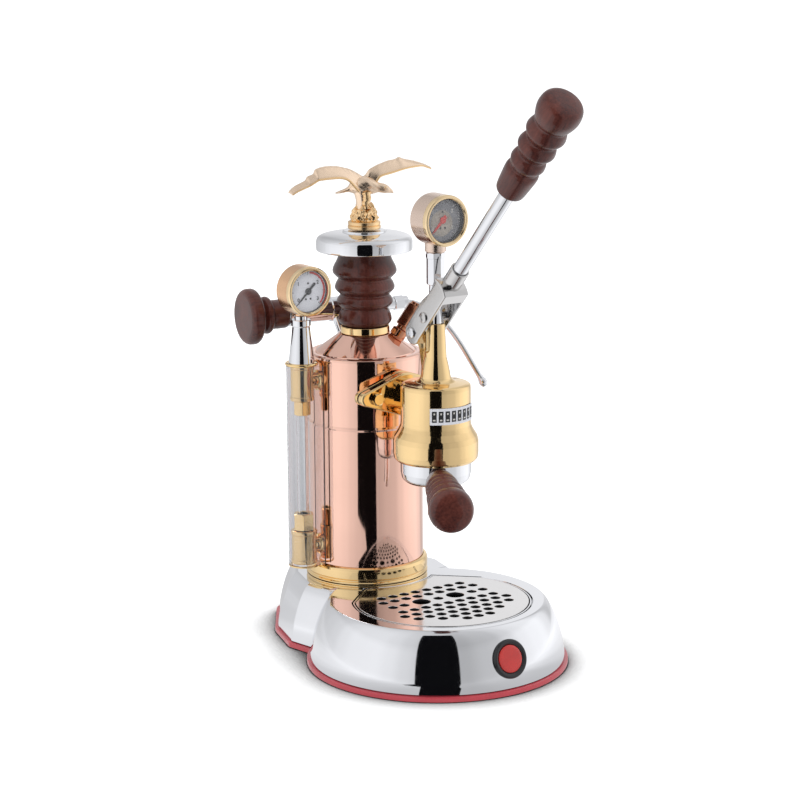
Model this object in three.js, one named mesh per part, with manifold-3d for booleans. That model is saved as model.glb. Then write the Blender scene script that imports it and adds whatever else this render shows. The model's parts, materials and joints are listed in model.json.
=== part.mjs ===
// Lever espresso machine, in millimetres, +Z up.
// The origin lies on the underside, below the axis of the boiler.
// The front of the machine, with the drip tray, faces -Y.
// The sight glass and the steam knob are on the -X side, the steam wand on +X.

import * as THREE from 'three';
import { mergeVertices } from 'three/addons/utils/BufferGeometryUtils.js';
import Module from 'manifold-3d';

const wasm = await Module();
wasm.setup();

// Driving dimensions

const gap = 0.3;
const overrun = 2;
const degree = Math.PI / 180;
const deckHeight = 49;
const groupReach = 96.5;
const boilerRadius = 44.7;
const shoulderHeight = 224;
const collarHeight = 6.1;
const valveSetback = 33;
const coneRise = 16.2;
const valveRise = 8.3;
const sightStandoff = 13.7;
const flangeDrop = 23;
const skirtDrop = 43;
const spigotRadius = 34;
const leverAngle = 47 * degree;
const portafilterAngle = -29 * degree;
const coneTop = shoulderHeight + coneRise;
const neckTop = coneTop + collarHeight;
const valveHeight = neckTop + valveRise;
const sightReach = boilerRadius + sightStandoff;
const flangeHeight = shoulderHeight - flangeDrop;
const skirtBottom = flangeHeight - skirtDrop;
const sides = { base: 26, large: 20, medium: 14, small: 10, tube: 9, stud: 8, tiny: 7, bar: 6 };

// Finishes

const finish = {
  chrome: { color: 0xd8dade, roughness: 0.08, metalness: 1 },
  satin: { color: 0xc4c3c2, roughness: 0.3, metalness: 1 },
  copper: { color: 0xe9b8a0, roughness: 0.12, metalness: 1 },
  gold: { color: 0xd9b06c, roughness: 0.12, metalness: 1 },
  rose: { color: 0xe0a98a, roughness: 0.2, metalness: 1 },
  steel: { color: 0x9c9d9f, roughness: 0.35, metalness: 1 },
  wood: { color: 0x56302c, roughness: 0.32, metalness: 0 },
  rubber: { color: 0x2a2a2c, roughness: 0.8, metalness: 0 },
  red: { color: 0xb83a40, roughness: 0.45, metalness: 0 },
  lens: { color: 0xcc2a26, roughness: 0.15, metalness: 0 },
  black: { color: 0x3c3d40, roughness: 0.4, metalness: 0 },
  paleDial: { color: 0xd9dcde, roughness: 0.5, metalness: 0 },
  darkDial: { color: 0x55595c, roughness: 0.5, metalness: 0 },
  glass: { color: 0xe6eef0, roughness: 0.03, metalness: 0, transparent: true, opacity: 0.35 },
};

// Shape helpers

const machine = new THREE.Group();

function solid(geometry) {
  const bare = geometry.clone();
  bare.deleteAttribute('normal');
  bare.deleteAttribute('uv');
  const merged = mergeVertices(bare, 1e-4);
  const index = merged.index.array;
  const kept = [];
  for (let i = 0; i < index.length; i += 3) {
    const [a, b, c] = [index[i], index[i + 1], index[i + 2]];
    if (a !== b && b !== c && a !== c) kept.push(a, b, c);
  }
  return new wasm.Manifold(new wasm.Mesh({
    numProp: 3,
    vertProperties: new Float32Array(merged.attributes.position.array),
    triVerts: new Uint32Array(kept),
  }));
}

function add(name, body, look) {
  const mesh = body.getMesh();
  const geometry = new THREE.BufferGeometry();
  geometry.setAttribute('position', new THREE.BufferAttribute(mesh.vertProperties, 3));
  geometry.setIndex(new THREE.BufferAttribute(mesh.triVerts, 1));
  geometry.computeVertexNormals();
  const part = new THREE.Mesh(geometry, new THREE.MeshStandardMaterial(look));
  part.name = name;
  machine.add(part);
  return part;
}

// A profile of [radius, height] points revolved about Z.
function revolve(points, count = sides.medium) {
  const profile = points.map(([r, z]) => new THREE.Vector2(r, z));
  const [first, last] = [profile[0], profile[profile.length - 1]];
  const onAxis = first.x === 0 && last.x === 0;
  if (!onAxis && !first.equals(last)) profile.push(first.clone());
  const area = profile.reduce((sum, p, i) => {
    const q = profile[(i + 1) % profile.length];
    return sum + p.x * q.y - q.x * p.y;
  }, 0);
  if (area < 0) profile.reverse();
  const geometry = new THREE.LatheGeometry(profile, count);
  geometry.rotateX(Math.PI / 2);
  return solid(geometry);
}

function cylinder(radius, bottom, top, count = sides.medium) {
  return revolve([[0, bottom], [radius, bottom], [radius, top], [0, top]], count);
}

function ring(inner, outer, bottom, top, count = sides.medium) {
  return revolve([[inner, bottom], [outer, bottom], [outer, top], [inner, top]], count);
}

function box(width, depth, height, x = 0, y = 0, z = 0) {
  const geometry = new THREE.BoxGeometry(width, depth, height);
  geometry.translate(x, y, z);
  return solid(geometry);
}

function extrude(outline, bottom, top, segments = sides.small) {
  const shape = outline instanceof THREE.Shape ? outline : new THREE.Shape(outline);
  const geometry = new THREE.ExtrudeGeometry(shape, {
    depth: top - bottom,
    bevelEnabled: false,
    curveSegments: segments,
  });
  geometry.translate(0, 0, bottom);
  return solid(geometry);
}

function sweep(points, radius, steps, count) {
  const outline = new THREE.Shape();
  outline.absarc(0, 0, radius, 0, 2 * Math.PI);
  const path = new THREE.CatmullRomCurve3(points.map((p) => new THREE.Vector3(...p)));
  const section = new THREE.Shape(outline.getPoints(count).slice(0, count));
  return solid(new THREE.ExtrudeGeometry(section, {
    steps,
    bevelEnabled: false,
    extrudePath: path,
  }));
}

// Rings of equal point count, stacked from the first to the last.
function loft(rings) {
  const count = rings[0].length;
  const positions = rings.flat(2);
  const index = [];
  for (let level = 0; level < rings.length - 1; level += 1) {
    for (let i = 0; i < count; i += 1) {
      const j = (i + 1) % count;
      const low = level * count;
      const high = low + count;
      index.push(low + i, low + j, high + j, low + i, high + j, high + i);
    }
  }
  const centres = [rings[0], rings[rings.length - 1]].map((points) =>
    [0, 1, 2].map((axis) => points.reduce((sum, p) => sum + p[axis], 0) / count));
  const base = positions.length / 3;
  const top = (rings.length - 1) * count;
  for (let i = 0; i < count; i += 1) {
    const j = (i + 1) % count;
    index.push(base, j, i, base + 1, top + i, top + j);
  }
  positions.push(...centres.flat());
  const geometry = new THREE.BufferGeometry();
  geometry.setAttribute('position', new THREE.Float32BufferAttribute(positions, 3));
  geometry.setIndex(index);
  return solid(geometry);
}

// The same solid moved from a Z axis onto another axis through a point.
function along(body, direction, [x, y, z]) {
  const turn = new THREE.Quaternion().setFromUnitVectors(
    new THREE.Vector3(0, 0, 1), new THREE.Vector3(...direction).normalize());
  const matrix = new THREE.Matrix4().makeRotationFromQuaternion(turn);
  matrix.setPosition(x, y, z);
  return body.transform(matrix.elements);
}

function hexagon(acrossFlats, bottom, top) {
  const corner = acrossFlats / Math.sqrt(3);
  return cylinder(corner, bottom, top, sides.bar);
}

const hypot = Math.hypot;
const polar = (radius, angle) => [radius * Math.cos(angle), radius * Math.sin(angle)];

function arc(centre, radius, from, to, steps) {
  return Array.from({ length: steps + 1 }, (_, i) => {
    const [x, y] = polar(radius, from + ((to - from) * i) / steps);
    return new THREE.Vector2(centre[0] + x, centre[1] + y);
  });
}

// Base: a chromed shell on a red cover, round in front, tapered behind the boiler

const base = {
  frontRadius: 100,
  frontCentre: -98,
  coverHeight: 4,
  coverFloor: 2.4,
  coverRim: 7,
  shellInset: 2.4,
  wall: 1.5,
  domeInset: 16.5,
  domeFullnessShare: 0.75,
  domeSteps: 5,
  hollowSteps: 2,
  spigotPlay: 1,
};
const lobe = {
  frontHalf: 70,
  front: -50,
  frontFillet: 1,
  cheekHalf: 78.5,
  cheek: -8,
  cheekFillet: 9,
  flankHalf: 67,
  flank: 32,
  flankFillet: 24,
  backHalf: 34,
  back: 84,
  backFillet: 20,
};
const lobeCorners = [
  { half: lobe.frontHalf, y: lobe.front, fillet: lobe.frontFillet, steps: 1 },
  { half: lobe.cheekHalf, y: lobe.cheek, fillet: lobe.cheekFillet, steps: 2 },
  { half: lobe.flankHalf, y: lobe.flank, fillet: lobe.flankFillet, steps: 3 },
  { half: lobe.backHalf, y: lobe.back, fillet: lobe.backFillet, steps: 3 },
];

function domeInsetAt(share) {
  const power = 2 * base.domeFullnessShare;
  const rest = (1 - share ** power) ** (1 / power);
  return base.domeInset * (1 - rest);
}

const domeFoot = base.coverHeight + gap;

// The dome's steps close up towards the deck, where it curves most.
function domeLevels(top, steps) {
  return Array.from({ length: steps + 1 }, (_, i) => {
    const z = domeFoot + Math.sin((i / steps) * 90 * degree) * (top - domeFoot);
    const share = (z - domeFoot) / (deckHeight - domeFoot);
    return { z, inset: base.shellInset + domeInsetAt(share) };
  });
}

// The lobe's outline, moved inward, with a fillet at each corner.
function lobeOutline(inset) {
  const right = lobeCorners.map(({ half, y, fillet, steps }) => ({ p: [half, y], fillet, steps }));
  const left = right.map(({ p, ...rest }) => ({ p: [-p[0], p[1]], ...rest })).reverse();
  const corners = [...right, ...left];
  const count = corners.length;
  const lines = corners.map(({ p }, i) => {
    const q = corners[(i + 1) % count].p;
    const length = hypot(q[0] - p[0], q[1] - p[1]);
    const normal = [-(q[1] - p[1]) / length, (q[0] - p[0]) / length];
    return { normal, offset: normal[0] * p[0] + normal[1] * p[1] + inset };
  });
  return corners.flatMap(({ fillet, steps }, i) => {
    const [a, b] = [lines[(i + count - 1) % count], lines[i]];
    const radius = Math.max(fillet - inset, gap);
    const det = a.normal[0] * b.normal[1] - a.normal[1] * b.normal[0];
    const [ka, kb] = [a.offset + radius, b.offset + radius];
    const centre = [
      (ka * b.normal[1] - kb * a.normal[1]) / det,
      (a.normal[0] * kb - b.normal[0] * ka) / det,
    ];
    const from = Math.atan2(-a.normal[1], -a.normal[0]);
    let to = Math.atan2(-b.normal[1], -b.normal[0]);
    if (to < from) to += 2 * Math.PI;
    return arc(centre, radius, from, to, steps);
  });
}

function domed(extra, top, steps = base.domeSteps) {
  const levels = domeLevels(top, steps);
  const drum = revolve([
    [0, levels[0].z],
    ...levels.map(({ z, inset }) => [base.frontRadius - inset - extra, z]),
    [0, top],
  ], sides.base).translate([0, base.frontCentre, 0]);
  const rear = loft(levels.map(({ z, inset }) =>
    lobeOutline(inset + extra).map(({ x, y }) => [x, y, z])));
  return drum.add(rear);
}

function basePlan(inset, bottom, top) {
  const drum = cylinder(base.frontRadius - inset, bottom, top, sides.base);
  return drum.translate([0, base.frontCentre, 0]).add(extrude(lobeOutline(inset), bottom, top));
}

const cover = basePlan(0, 0, base.coverHeight)
  .subtract(basePlan(base.coverRim, base.coverFloor, base.coverHeight + overrun));
add('bottom_cover', cover, finish.red);

// Drip tray: a round bowl with its back cut to pass round the boiler foot

const tray = {
  surround: 34,
  offset: 6.5,
  chordAngle: 28.7 * degree,
  footClearRadius: 57,
  cornerHalfAngle: 32.2 * degree,
  seatDepth: 5,
  seatOverlap: 5,
  flange: 1.7,
  wall: 1.6,
  depth: 24,
  play: 0.7,
  arcSteps: 17,
  backSteps: 4,
};

const trayRadius = base.frontRadius - tray.surround;
const trayCentre = base.frontCentre - tray.offset;

function trayOutline(inset) {
  const radius = trayRadius - inset;
  const back = tray.footClearRadius + inset;
  const halfAngle = tray.cornerHalfAngle - inset / back;
  const front = arc([0, trayCentre], radius, 180 * degree - tray.chordAngle,
    360 * degree + tray.chordAngle, tray.arcSteps);
  const rear = arc([0, 0], back, -90 * degree + halfAngle, -90 * degree - halfAngle, tray.backSteps);
  return [...front, ...rear];
}

const seatTop = deckHeight - tray.seatDepth;
const trayBottom = seatTop - tray.depth;
const wellOuter = -tray.play - base.wall;

// Power switch, square to the domed front

const powerSwitch = {
  height: 26,
  bezelRadius: 14.6,
  bezelProud: 1.9,
  bezelBite: 2.4,
  barrelRadius: 12,
  barrelDepth: 15,
  barrelFloor: 1.6,
  boreRadius: 10.6,
  buttonProud: 1.4,
  buttonDepth: 7,
  buttonCrown: 0.8,
};
const switchShare = (powerSwitch.height - domeFoot) / (deckHeight - domeFoot);
const switchReach = base.frontRadius - base.shellInset - domeInsetAt(switchShare);
const slopeStepShare = 0.01;
const switchSlope = (domeInsetAt(switchShare + slopeStepShare) - domeInsetAt(switchShare))
  / (slopeStepShare * (deckHeight - domeFoot));
const switchNormal = [0, -1 / hypot(1, switchSlope), switchSlope / hypot(1, switchSlope)];
const switchPoint = [0, base.frontCentre - switchReach, powerSwitch.height];

// Cable gland, square to the tapered back

const gland = {
  height: 20,
  flangeRadius: 9,
  flangeProud: 2.5,
  flangeBite: 3,
  barrelRadius: 6.5,
  barrelDepth: 9,
  boreRadius: 4.4,
};
const glandShare = (gland.height - domeFoot) / (deckHeight - domeFoot);
const glandReach = lobe.back - base.shellInset - domeInsetAt(glandShare);
const glandSlope = (domeInsetAt(glandShare + slopeStepShare) - domeInsetAt(glandShare))
  / (slopeStepShare * (deckHeight - domeFoot));
const glandNormal = [0, 1 / hypot(1, glandSlope), glandSlope / hypot(1, glandSlope)];
const glandPoint = [0, glandReach, gland.height];

const deckBottom = deckHeight - base.wall;
const well = extrude(trayOutline(wellOuter), seatTop - base.wall, deckBottom + gap);
const shell = domed(0, deckHeight)
  .subtract(domed(base.wall, deckBottom, base.hollowSteps))
  .subtract(basePlan(base.shellInset + base.wall, 0, domeFoot + overrun))
  .add(well)
  .subtract(extrude(trayOutline(-tray.play), seatTop, deckHeight + overrun))
  .subtract(extrude(trayOutline(tray.seatOverlap), seatTop - overrun, deckHeight))
  .subtract(cylinder(spigotRadius + base.spigotPlay, deckBottom - overrun, deckHeight + overrun,
    sides.large))
  .subtract(along(cylinder(powerSwitch.barrelRadius + gap, -powerSwitch.barrelDepth, overrun + gap),
    switchNormal, switchPoint))
  .subtract(along(cylinder(gland.barrelRadius + gap, -gland.barrelDepth, overrun + gap),
    glandNormal, glandPoint));
add('base_shell', shell, finish.chrome);

const skin = domed(-gap, deckHeight);
const bezel = along(
  revolve([
    [powerSwitch.boreRadius, powerSwitch.bezelProud * 0.4],
    [powerSwitch.bezelRadius * 0.83, powerSwitch.bezelProud],
    [powerSwitch.bezelRadius * 0.95, powerSwitch.bezelProud * 0.85],
    [powerSwitch.bezelRadius, powerSwitch.bezelProud * 0.4],
    [powerSwitch.bezelRadius, -powerSwitch.bezelBite],
    [powerSwitch.boreRadius, -powerSwitch.bezelBite],
  ], sides.medium),
  switchNormal, switchPoint,
).subtract(skin).add(along(
  cylinder(powerSwitch.barrelRadius, -powerSwitch.barrelDepth, powerSwitch.bezelProud * 0.4)
    .subtract(cylinder(powerSwitch.boreRadius, powerSwitch.barrelFloor - powerSwitch.barrelDepth,
      powerSwitch.bezelProud + overrun)),
  switchNormal, switchPoint,
));
add('switch_bezel', bezel, finish.black);

const button = along(revolve([
  [0, powerSwitch.buttonProud - powerSwitch.buttonDepth],
  [powerSwitch.boreRadius - gap, powerSwitch.buttonProud - powerSwitch.buttonDepth],
  [powerSwitch.boreRadius - gap, powerSwitch.buttonProud - powerSwitch.buttonCrown],
  [powerSwitch.boreRadius * 0.8, powerSwitch.buttonProud - powerSwitch.buttonCrown * 0.3],
  [0, powerSwitch.buttonProud],
], sides.medium), switchNormal, switchPoint);
add('switch_button', button, finish.lens);

const glandPiece = along(ring(gland.boreRadius, gland.flangeRadius, -gland.flangeBite,
  gland.flangeProud, sides.small), glandNormal, glandPoint)
  .subtract(skin)
  .add(along(ring(gland.boreRadius, gland.barrelRadius, -gland.barrelDepth,
    gland.flangeProud * 0.5, sides.small), glandNormal, glandPoint));
add('cable_gland', glandPiece, finish.rubber);

const trayFlangeBottom = seatTop + gap;
const trayFlangeTop = trayFlangeBottom + tray.flange;
const bowlInset = tray.seatOverlap + tray.play;
const trayBody = extrude(trayOutline(0), trayFlangeBottom, trayFlangeTop)
  .add(extrude(trayOutline(bowlInset), trayBottom, trayFlangeTop))
  .subtract(extrude(trayOutline(bowlInset + tray.wall), trayBottom + tray.wall,
    trayFlangeTop + overrun));
add('drip_tray', trayBody, finish.black);

// Drip grille: a plate of staggered round holes with two finger holes

const grille = {
  plate: 1.5,
  proud: 0.2,
  rim: 1.8,
  holeRadius: 3,
  pitchShare: 0.1576,
  holeSides: 6,
  fingerRadius: 7,
  fingerShare: 0.2364,
};
// Rows of holes from back to front, placed as shares of the tray's radius.
const grilleRowShares = [
  { y: 0.432, count: 8 },
  { y: 0.277, count: 9 },
  { y: 0.076, count: 9, fingers: true },
  { y: -0.132, count: 9 },
  { y: -0.285, count: 10 },
  { y: -0.439, count: 9 },
  { y: -0.582, count: 6 },
  { y: -0.724, count: 3 },
];
const grilleTop = deckHeight + grille.proud;
const grilleBottom = trayFlangeTop + gap;
const holePitch = grille.pitchShare * trayRadius;
const fingerOffset = grille.fingerShare * trayRadius;

function grilleHoles() {
  const depth = [grilleBottom - overrun, grilleTop + overrun];
  const holes = [];
  for (const row of grilleRowShares) {
    for (let i = 0; i < row.count; i += 1) {
      const x = (i - (row.count - 1) / 2) * holePitch;
      const covered = row.fingers && Math.abs(Math.abs(x) - fingerOffset) < grille.fingerRadius;
      if (!covered) {
        holes.push(cylinder(grille.holeRadius, ...depth, grille.holeSides)
          .translate([x, trayCentre + row.y * trayRadius, 0]));
      }
    }
  }
  const fingerRow = grilleRowShares.find((row) => row.fingers);
  const fingerY = trayCentre + fingerRow.y * trayRadius;
  for (const side of [-1, 1]) {
    holes.push(cylinder(grille.fingerRadius, ...depth, sides.small)
      .translate([side * fingerOffset, fingerY, 0]));
  }
  return wasm.Manifold.union(holes);
}

const grilleBody = extrude(trayOutline(0), grilleBottom, grilleTop)
  .subtract(extrude(trayOutline(grille.rim), grilleBottom - overrun, grilleTop - grille.plate))
  .subtract(grilleHoles());
add('drip_grille', grilleBody, finish.satin);

// Boiler: a rolled copper tank with a raised seam, a coned top and a spigot through the deck

const boiler = {
  wall: 1.6,
  spigotWall: 3,
  spigotLength: 13.3,
  seamDrop: 52,
  seamBulge: 1.1,
  seamHalf: 2,
  shoulderRise: 2.6,
  shoulderRound: 2.4,
  grooveInset: 5.6,
  grooveDepth: 0.7,
  neckRadius: 15,
  neckBore: 12,
  coneTopRadius: 20.3,
};
const tankBottom = deckHeight + gap;
const spigotBottom = tankBottom - boiler.spigotLength;
const seamHeight = shoulderHeight - boiler.seamDrop;
const coneFoot = [boilerRadius - boiler.grooveInset, shoulderHeight + boiler.shoulderRise];
const tank = revolve([
  [spigotRadius, spigotBottom],
  [spigotRadius, tankBottom],
  [boilerRadius, tankBottom],
  [boilerRadius, seamHeight - boiler.seamHalf],
  [boilerRadius + boiler.seamBulge, seamHeight],
  [boilerRadius, seamHeight + boiler.seamHalf],
  [boilerRadius, shoulderHeight],
  [boilerRadius - boiler.shoulderRound * 0.3, shoulderHeight + boiler.shoulderRise * 0.7],
  [boilerRadius - boiler.shoulderRound, shoulderHeight + boiler.shoulderRise],
  [coneFoot[0] + boiler.grooveDepth, coneFoot[1]],
  [coneFoot[0], coneFoot[1] - boiler.grooveDepth],
  [coneFoot[0] - boiler.grooveDepth, coneFoot[1]],
  [boiler.coneTopRadius, coneTop],
  [boiler.neckRadius, coneTop],
  [boiler.neckRadius, neckTop],
  [boiler.neckBore, neckTop],
  [boiler.neckBore, coneTop - boiler.wall],
  [boiler.coneTopRadius - boiler.wall, coneTop - boiler.wall],
  [coneFoot[0] - boiler.wall, coneFoot[1] - 2 * boiler.wall],
  [boilerRadius - boiler.wall, shoulderHeight - boiler.wall],
  [boilerRadius - boiler.wall, tankBottom + boiler.wall],
  [spigotRadius - boiler.spigotWall, tankBottom + boiler.wall],
  [spigotRadius - boiler.spigotWall, spigotBottom],
], sides.large);

// Two-bolt flange between boiler and group

const flange = {
  padStandoff: 2.6,
  padThickness: 3.6,
  gasket: 1.2,
  thickness: 5.6,
  centreRadius: 18,
  endRadius: 10,
  endOffset: 31,
  boltOffset: 28,
  boltRadius: 3,
  boltHead: 3.6,
  boltFlats: 9,
  feedBore: 5,
  padTube: 13,
  arcSteps: 5,
};
const padBack = -boilerRadius - flange.padStandoff;
const padFront = padBack - flange.padThickness;
const gasketBack = padFront - gap;
const gasketFront = gasketBack - flange.gasket;
const flangeBack = gasketFront - gap;
const flangeFront = flangeBack - flange.thickness;

// A plate square to Y, drawn in X and Z about the flange centre.
function flangePlate(front, back, shrink = 0) {
  const [large, small] = [flange.centreRadius - shrink, flange.endRadius - shrink];
  const lean = Math.asin((large - small) / flange.endOffset);
  const quarter = 90 * degree;
  const outline = [
    ...arc([flange.endOffset, 0], small, lean - quarter, quarter - lean, flange.arcSteps),
    ...arc([0, 0], large, quarter - lean, quarter + lean, 2),
    ...arc([-flange.endOffset, 0], small, quarter + lean, 3 * quarter - lean, flange.arcSteps),
    ...arc([0, 0], large, 3 * quarter - lean, 3 * quarter + lean, 2),
  ];
  return extrude(outline, -back, -front)
    .rotate([90, 0, 0])
    .translate([0, 0, flangeHeight]);
}

const alongY = (body, z) => body.rotate([90, 0, 0]).translate([0, 0, z]);

function flangeHoles(radius, front, back) {
  return wasm.Manifold.union([-1, 1].map((side) =>
    alongY(cylinder(radius, -back, -front, sides.tiny), flangeHeight)
      .translate([side * flange.boltOffset, 0, 0])));
}

const feed = alongY(cylinder(flange.feedBore, boilerRadius / 2, -padFront + overrun, sides.tiny),
  flangeHeight);
const padInner = boilerRadius - boiler.wall / 2;
const pad = alongY(cylinder(flange.padTube, boilerRadius / 2, -padFront, sides.small),
  flangeHeight)
  .subtract(cylinder(padInner, 0, shoulderHeight, sides.large))
  .add(flangePlate(padFront, padBack)
    .subtract(cylinder(boilerRadius, 0, shoulderHeight, sides.large)));
add('boiler_tank', tank.add(pad).subtract(feed)
  .subtract(flangeHoles(flange.boltRadius + gap, padFront - overrun, padBack + overrun)),
finish.copper);

const footRing = { width: 3.1, height: 12.9, grooveRise: 2.3, grooveDepth: 1.4, rounding: 3 };
const footInner = boilerRadius + gap;
const footOuter = footInner + footRing.width;
const footTop = tankBottom + footRing.height;
const footGroove = tankBottom + footRing.grooveRise;
add('boiler_foot_ring', revolve([
  [footInner, tankBottom],
  [footOuter, tankBottom],
  [footOuter - footRing.grooveDepth, footGroove],
  [footOuter, footGroove + footRing.grooveDepth],
  [footOuter, footTop - footRing.rounding],
  [footOuter - footRing.rounding * 0.35, footTop - footRing.rounding * 0.3],
  [footInner, footTop],
], sides.large), finish.gold);

const collar = { radius: 19.1, bevel: 0.8 };
const collarBottom = coneTop + gap;
add('boiler_collar', revolve([
  [boiler.neckRadius + gap, collarBottom],
  [collar.radius - collar.bevel, collarBottom],
  [collar.radius, collarBottom + collar.bevel],
  [collar.radius, neckTop - collar.bevel],
  [collar.radius - collar.bevel, neckTop],
  [boiler.neckRadius + gap, neckTop],
], sides.large), finish.gold);

const ringNut = { width: 7, height: 6 };
const nutTop = deckBottom - gap;
add('boiler_ring_nut', ring(spigotRadius + gap, spigotRadius + ringNut.width, nutTop - ringNut.height,
  nutTop, sides.large), finish.steel);

// Heating element: a flange under the spigot, a hairpin coil and two terminals

const element = {
  flange: 3.4,
  plugHeight: 2.4,
  coilRadius: 4,
  legOffset: 15,
  coilRise: 62.7,
  terminalRadius: 2.2,
  terminalDrop: 8,
  coilSteps: 10,
};
const elementTop = spigotBottom - gap;
const elementBottom = elementTop - element.flange;
const plugTop = elementTop + element.plugHeight;
const coilTop = tankBottom + element.coilRise;
const bendHeight = coilTop - element.legOffset;
const hairpin = [
  [-element.legOffset, 0, elementTop],
  [-element.legOffset, 0, (elementTop + bendHeight) / 2],
  [-element.legOffset, 0, bendHeight],
  [0, 0, coilTop],
  [element.legOffset, 0, bendHeight],
  [element.legOffset, 0, (elementTop + bendHeight) / 2],
  [element.legOffset, 0, elementTop],
];
const elementBody = revolve([
  [0, elementBottom],
  [spigotRadius, elementBottom],
  [spigotRadius, elementTop],
  [spigotRadius - boiler.spigotWall - gap, elementTop],
  [spigotRadius - boiler.spigotWall - gap, plugTop],
  [0, plugTop],
], sides.large)
  .add(sweep(hairpin, element.coilRadius, element.coilSteps, sides.bar))
  .add(wasm.Manifold.union([-1, 1].map((side) =>
    cylinder(element.terminalRadius, elementBottom - element.terminalDrop, elementBottom + overrun,
      sides.bar)
      .translate([side * element.legOffset, 0, 0]))));
add('heating_element', elementBody, finish.steel);

const pressurestat = { width: 30, depth: 24, height: 20, x: -34, y: -14, portRadius: 4, port: 5 };
const controlBottom = base.coverFloor + gap;
add('pressurestat', box(pressurestat.width, pressurestat.depth, pressurestat.height,
  pressurestat.x, pressurestat.y, controlBottom + pressurestat.height / 2)
  .add(cylinder(pressurestat.portRadius, controlBottom + pressurestat.height - overrun,
    controlBottom + pressurestat.height + pressurestat.port, sides.tiny)
    .translate([pressurestat.x, pressurestat.y, 0])), finish.black);

// Filler cap: plug and seal under a ringed knob, a domed disc and a bird finial

const cap = {
  knobBottom: neckTop + gap,
  knobHeight: 58.4,
  knobRadius: 24.9,
  recessRadius: 16.4,
  recessHeight: 4.6,
  boreRadius: 4.2,
  boreHeight: 22,
  plugRadius: 11.5,
  plugDepth: 14,
  gasket: 1.5,
  plugFlange: 2.2,
  studRadius: 3.8,
};
const knobTop = cap.knobBottom + cap.knobHeight;

// The knob's rings, as shares of its radius and height.
const knobShares = [
  [0.739, 0], [0.839, 0.075], [0.811, 0.168], [0.735, 0.229], [0.859, 0.288],
  [0.867, 0.356], [0.775, 0.418], [0.916, 0.483], [0.924, 0.555], [0.831, 0.623],
  [0.988, 0.699], [1, 0.767], [0.924, 0.863], [0.871, 0.932], [0.871, 1],
];
add('filler_cap', revolve([
  [cap.recessRadius, cap.knobBottom],
  ...knobShares.map(([r, h]) => [r * cap.knobRadius, cap.knobBottom + h * cap.knobHeight]),
  [0, knobTop],
  [0, cap.knobBottom + cap.recessHeight + cap.boreHeight],
  [cap.boreRadius, cap.knobBottom + cap.recessHeight + cap.boreHeight],
  [cap.boreRadius, cap.knobBottom + cap.recessHeight],
  [cap.recessRadius, cap.knobBottom + cap.recessHeight],
]), finish.wood);

const gasketBottom = neckTop + gap;
const gasketTop = gasketBottom + cap.gasket;
const gasketRadius = cap.recessRadius * Math.cos(Math.PI / sides.medium) - gap;
add('cap_gasket', ring(boiler.neckBore + gap, gasketRadius, gasketBottom, gasketTop, sides.medium),
  finish.rubber);

const flangeLow = gasketTop + gap;
const flangeHigh = flangeLow + cap.plugFlange;
add('cap_plug', revolve([
  [0, neckTop - cap.plugDepth],
  [cap.plugRadius - 1.5 * gap, neckTop - cap.plugDepth],
  [cap.plugRadius, neckTop - cap.plugDepth + gap],
  [cap.plugRadius, flangeLow],
  [cap.recessRadius - gap, flangeLow],
  [cap.recessRadius - gap, flangeHigh],
  [cap.studRadius, flangeHigh],
  [cap.studRadius, flangeHigh + cap.boreHeight - overrun],
  [0, flangeHigh + cap.boreHeight - overrun],
], sides.medium), finish.gold);

const disc = {
  radius: 37.5,
  bottom: knobTop + gap,
  wallHeight: 7.4,
  rounding: 6,
  dome: 6.9,
  plinthRadius: 17.6,
  plinthStep: 0.7,
  plinth: 2.2,
};
const discWallTop = disc.bottom + disc.wallHeight;
const discCrown = discWallTop + disc.dome;
const discTop = discCrown + disc.plinth;
add('cap_disc', revolve([
  [0, disc.bottom],
  [disc.radius - disc.rounding / 4, disc.bottom],
  [disc.radius, disc.bottom + disc.rounding / 4],
  [disc.radius, discWallTop],
  [disc.radius - disc.rounding * 0.2, discWallTop + disc.rounding * 0.4],
  [disc.radius - disc.rounding * 0.65, discWallTop + disc.rounding * 0.72],
  [disc.radius - disc.rounding * 1.4, discWallTop + disc.rounding * 0.92],
  [disc.plinthRadius, discCrown],
  [disc.plinthRadius - disc.plinthStep, discCrown - disc.plinthStep],
  [disc.plinthRadius - 2 * disc.plinthStep, discCrown],
  [0, discTop],
], sides.large), finish.chrome);

// Finial: a bird with spread wings on a rocky mound, facing the front right

const bird = {
  moundRadius: 12.8,
  moundRise: 15.4,
  bodyRise: 13.6,
  bodyGirth: 7.6,
  legGirth: 6.4,
  leftSpan: 66,
  rightSpan: 61,
  wingRise: 18.8,
  wingRoot: 5.4,
  wingDepth: 3.4,
  wingThickness: 1.5,
  heading: 57 * degree,
  headReach: 25,
  headDrop: 0.6,
  tailReach: 26,
  tailDrop: 1.4,
};
const moundShares = [[0, 0], [1, 0], [0.98, 0.2], [0.9, 0.34], [0.88, 0.5], [0.74, 0.66],
  [0.7, 0.86], [0.4, 1], [0, 1]];
const moundFoot = discTop + gap;
const moundTop = moundFoot + bird.moundRise;
const bodyHeight = moundTop + bird.bodyRise;
const mound = revolve(moundShares.map(([r, h]) =>
  [r * bird.moundRadius, moundFoot + h * bird.moundRise]), sides.stud);

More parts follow.
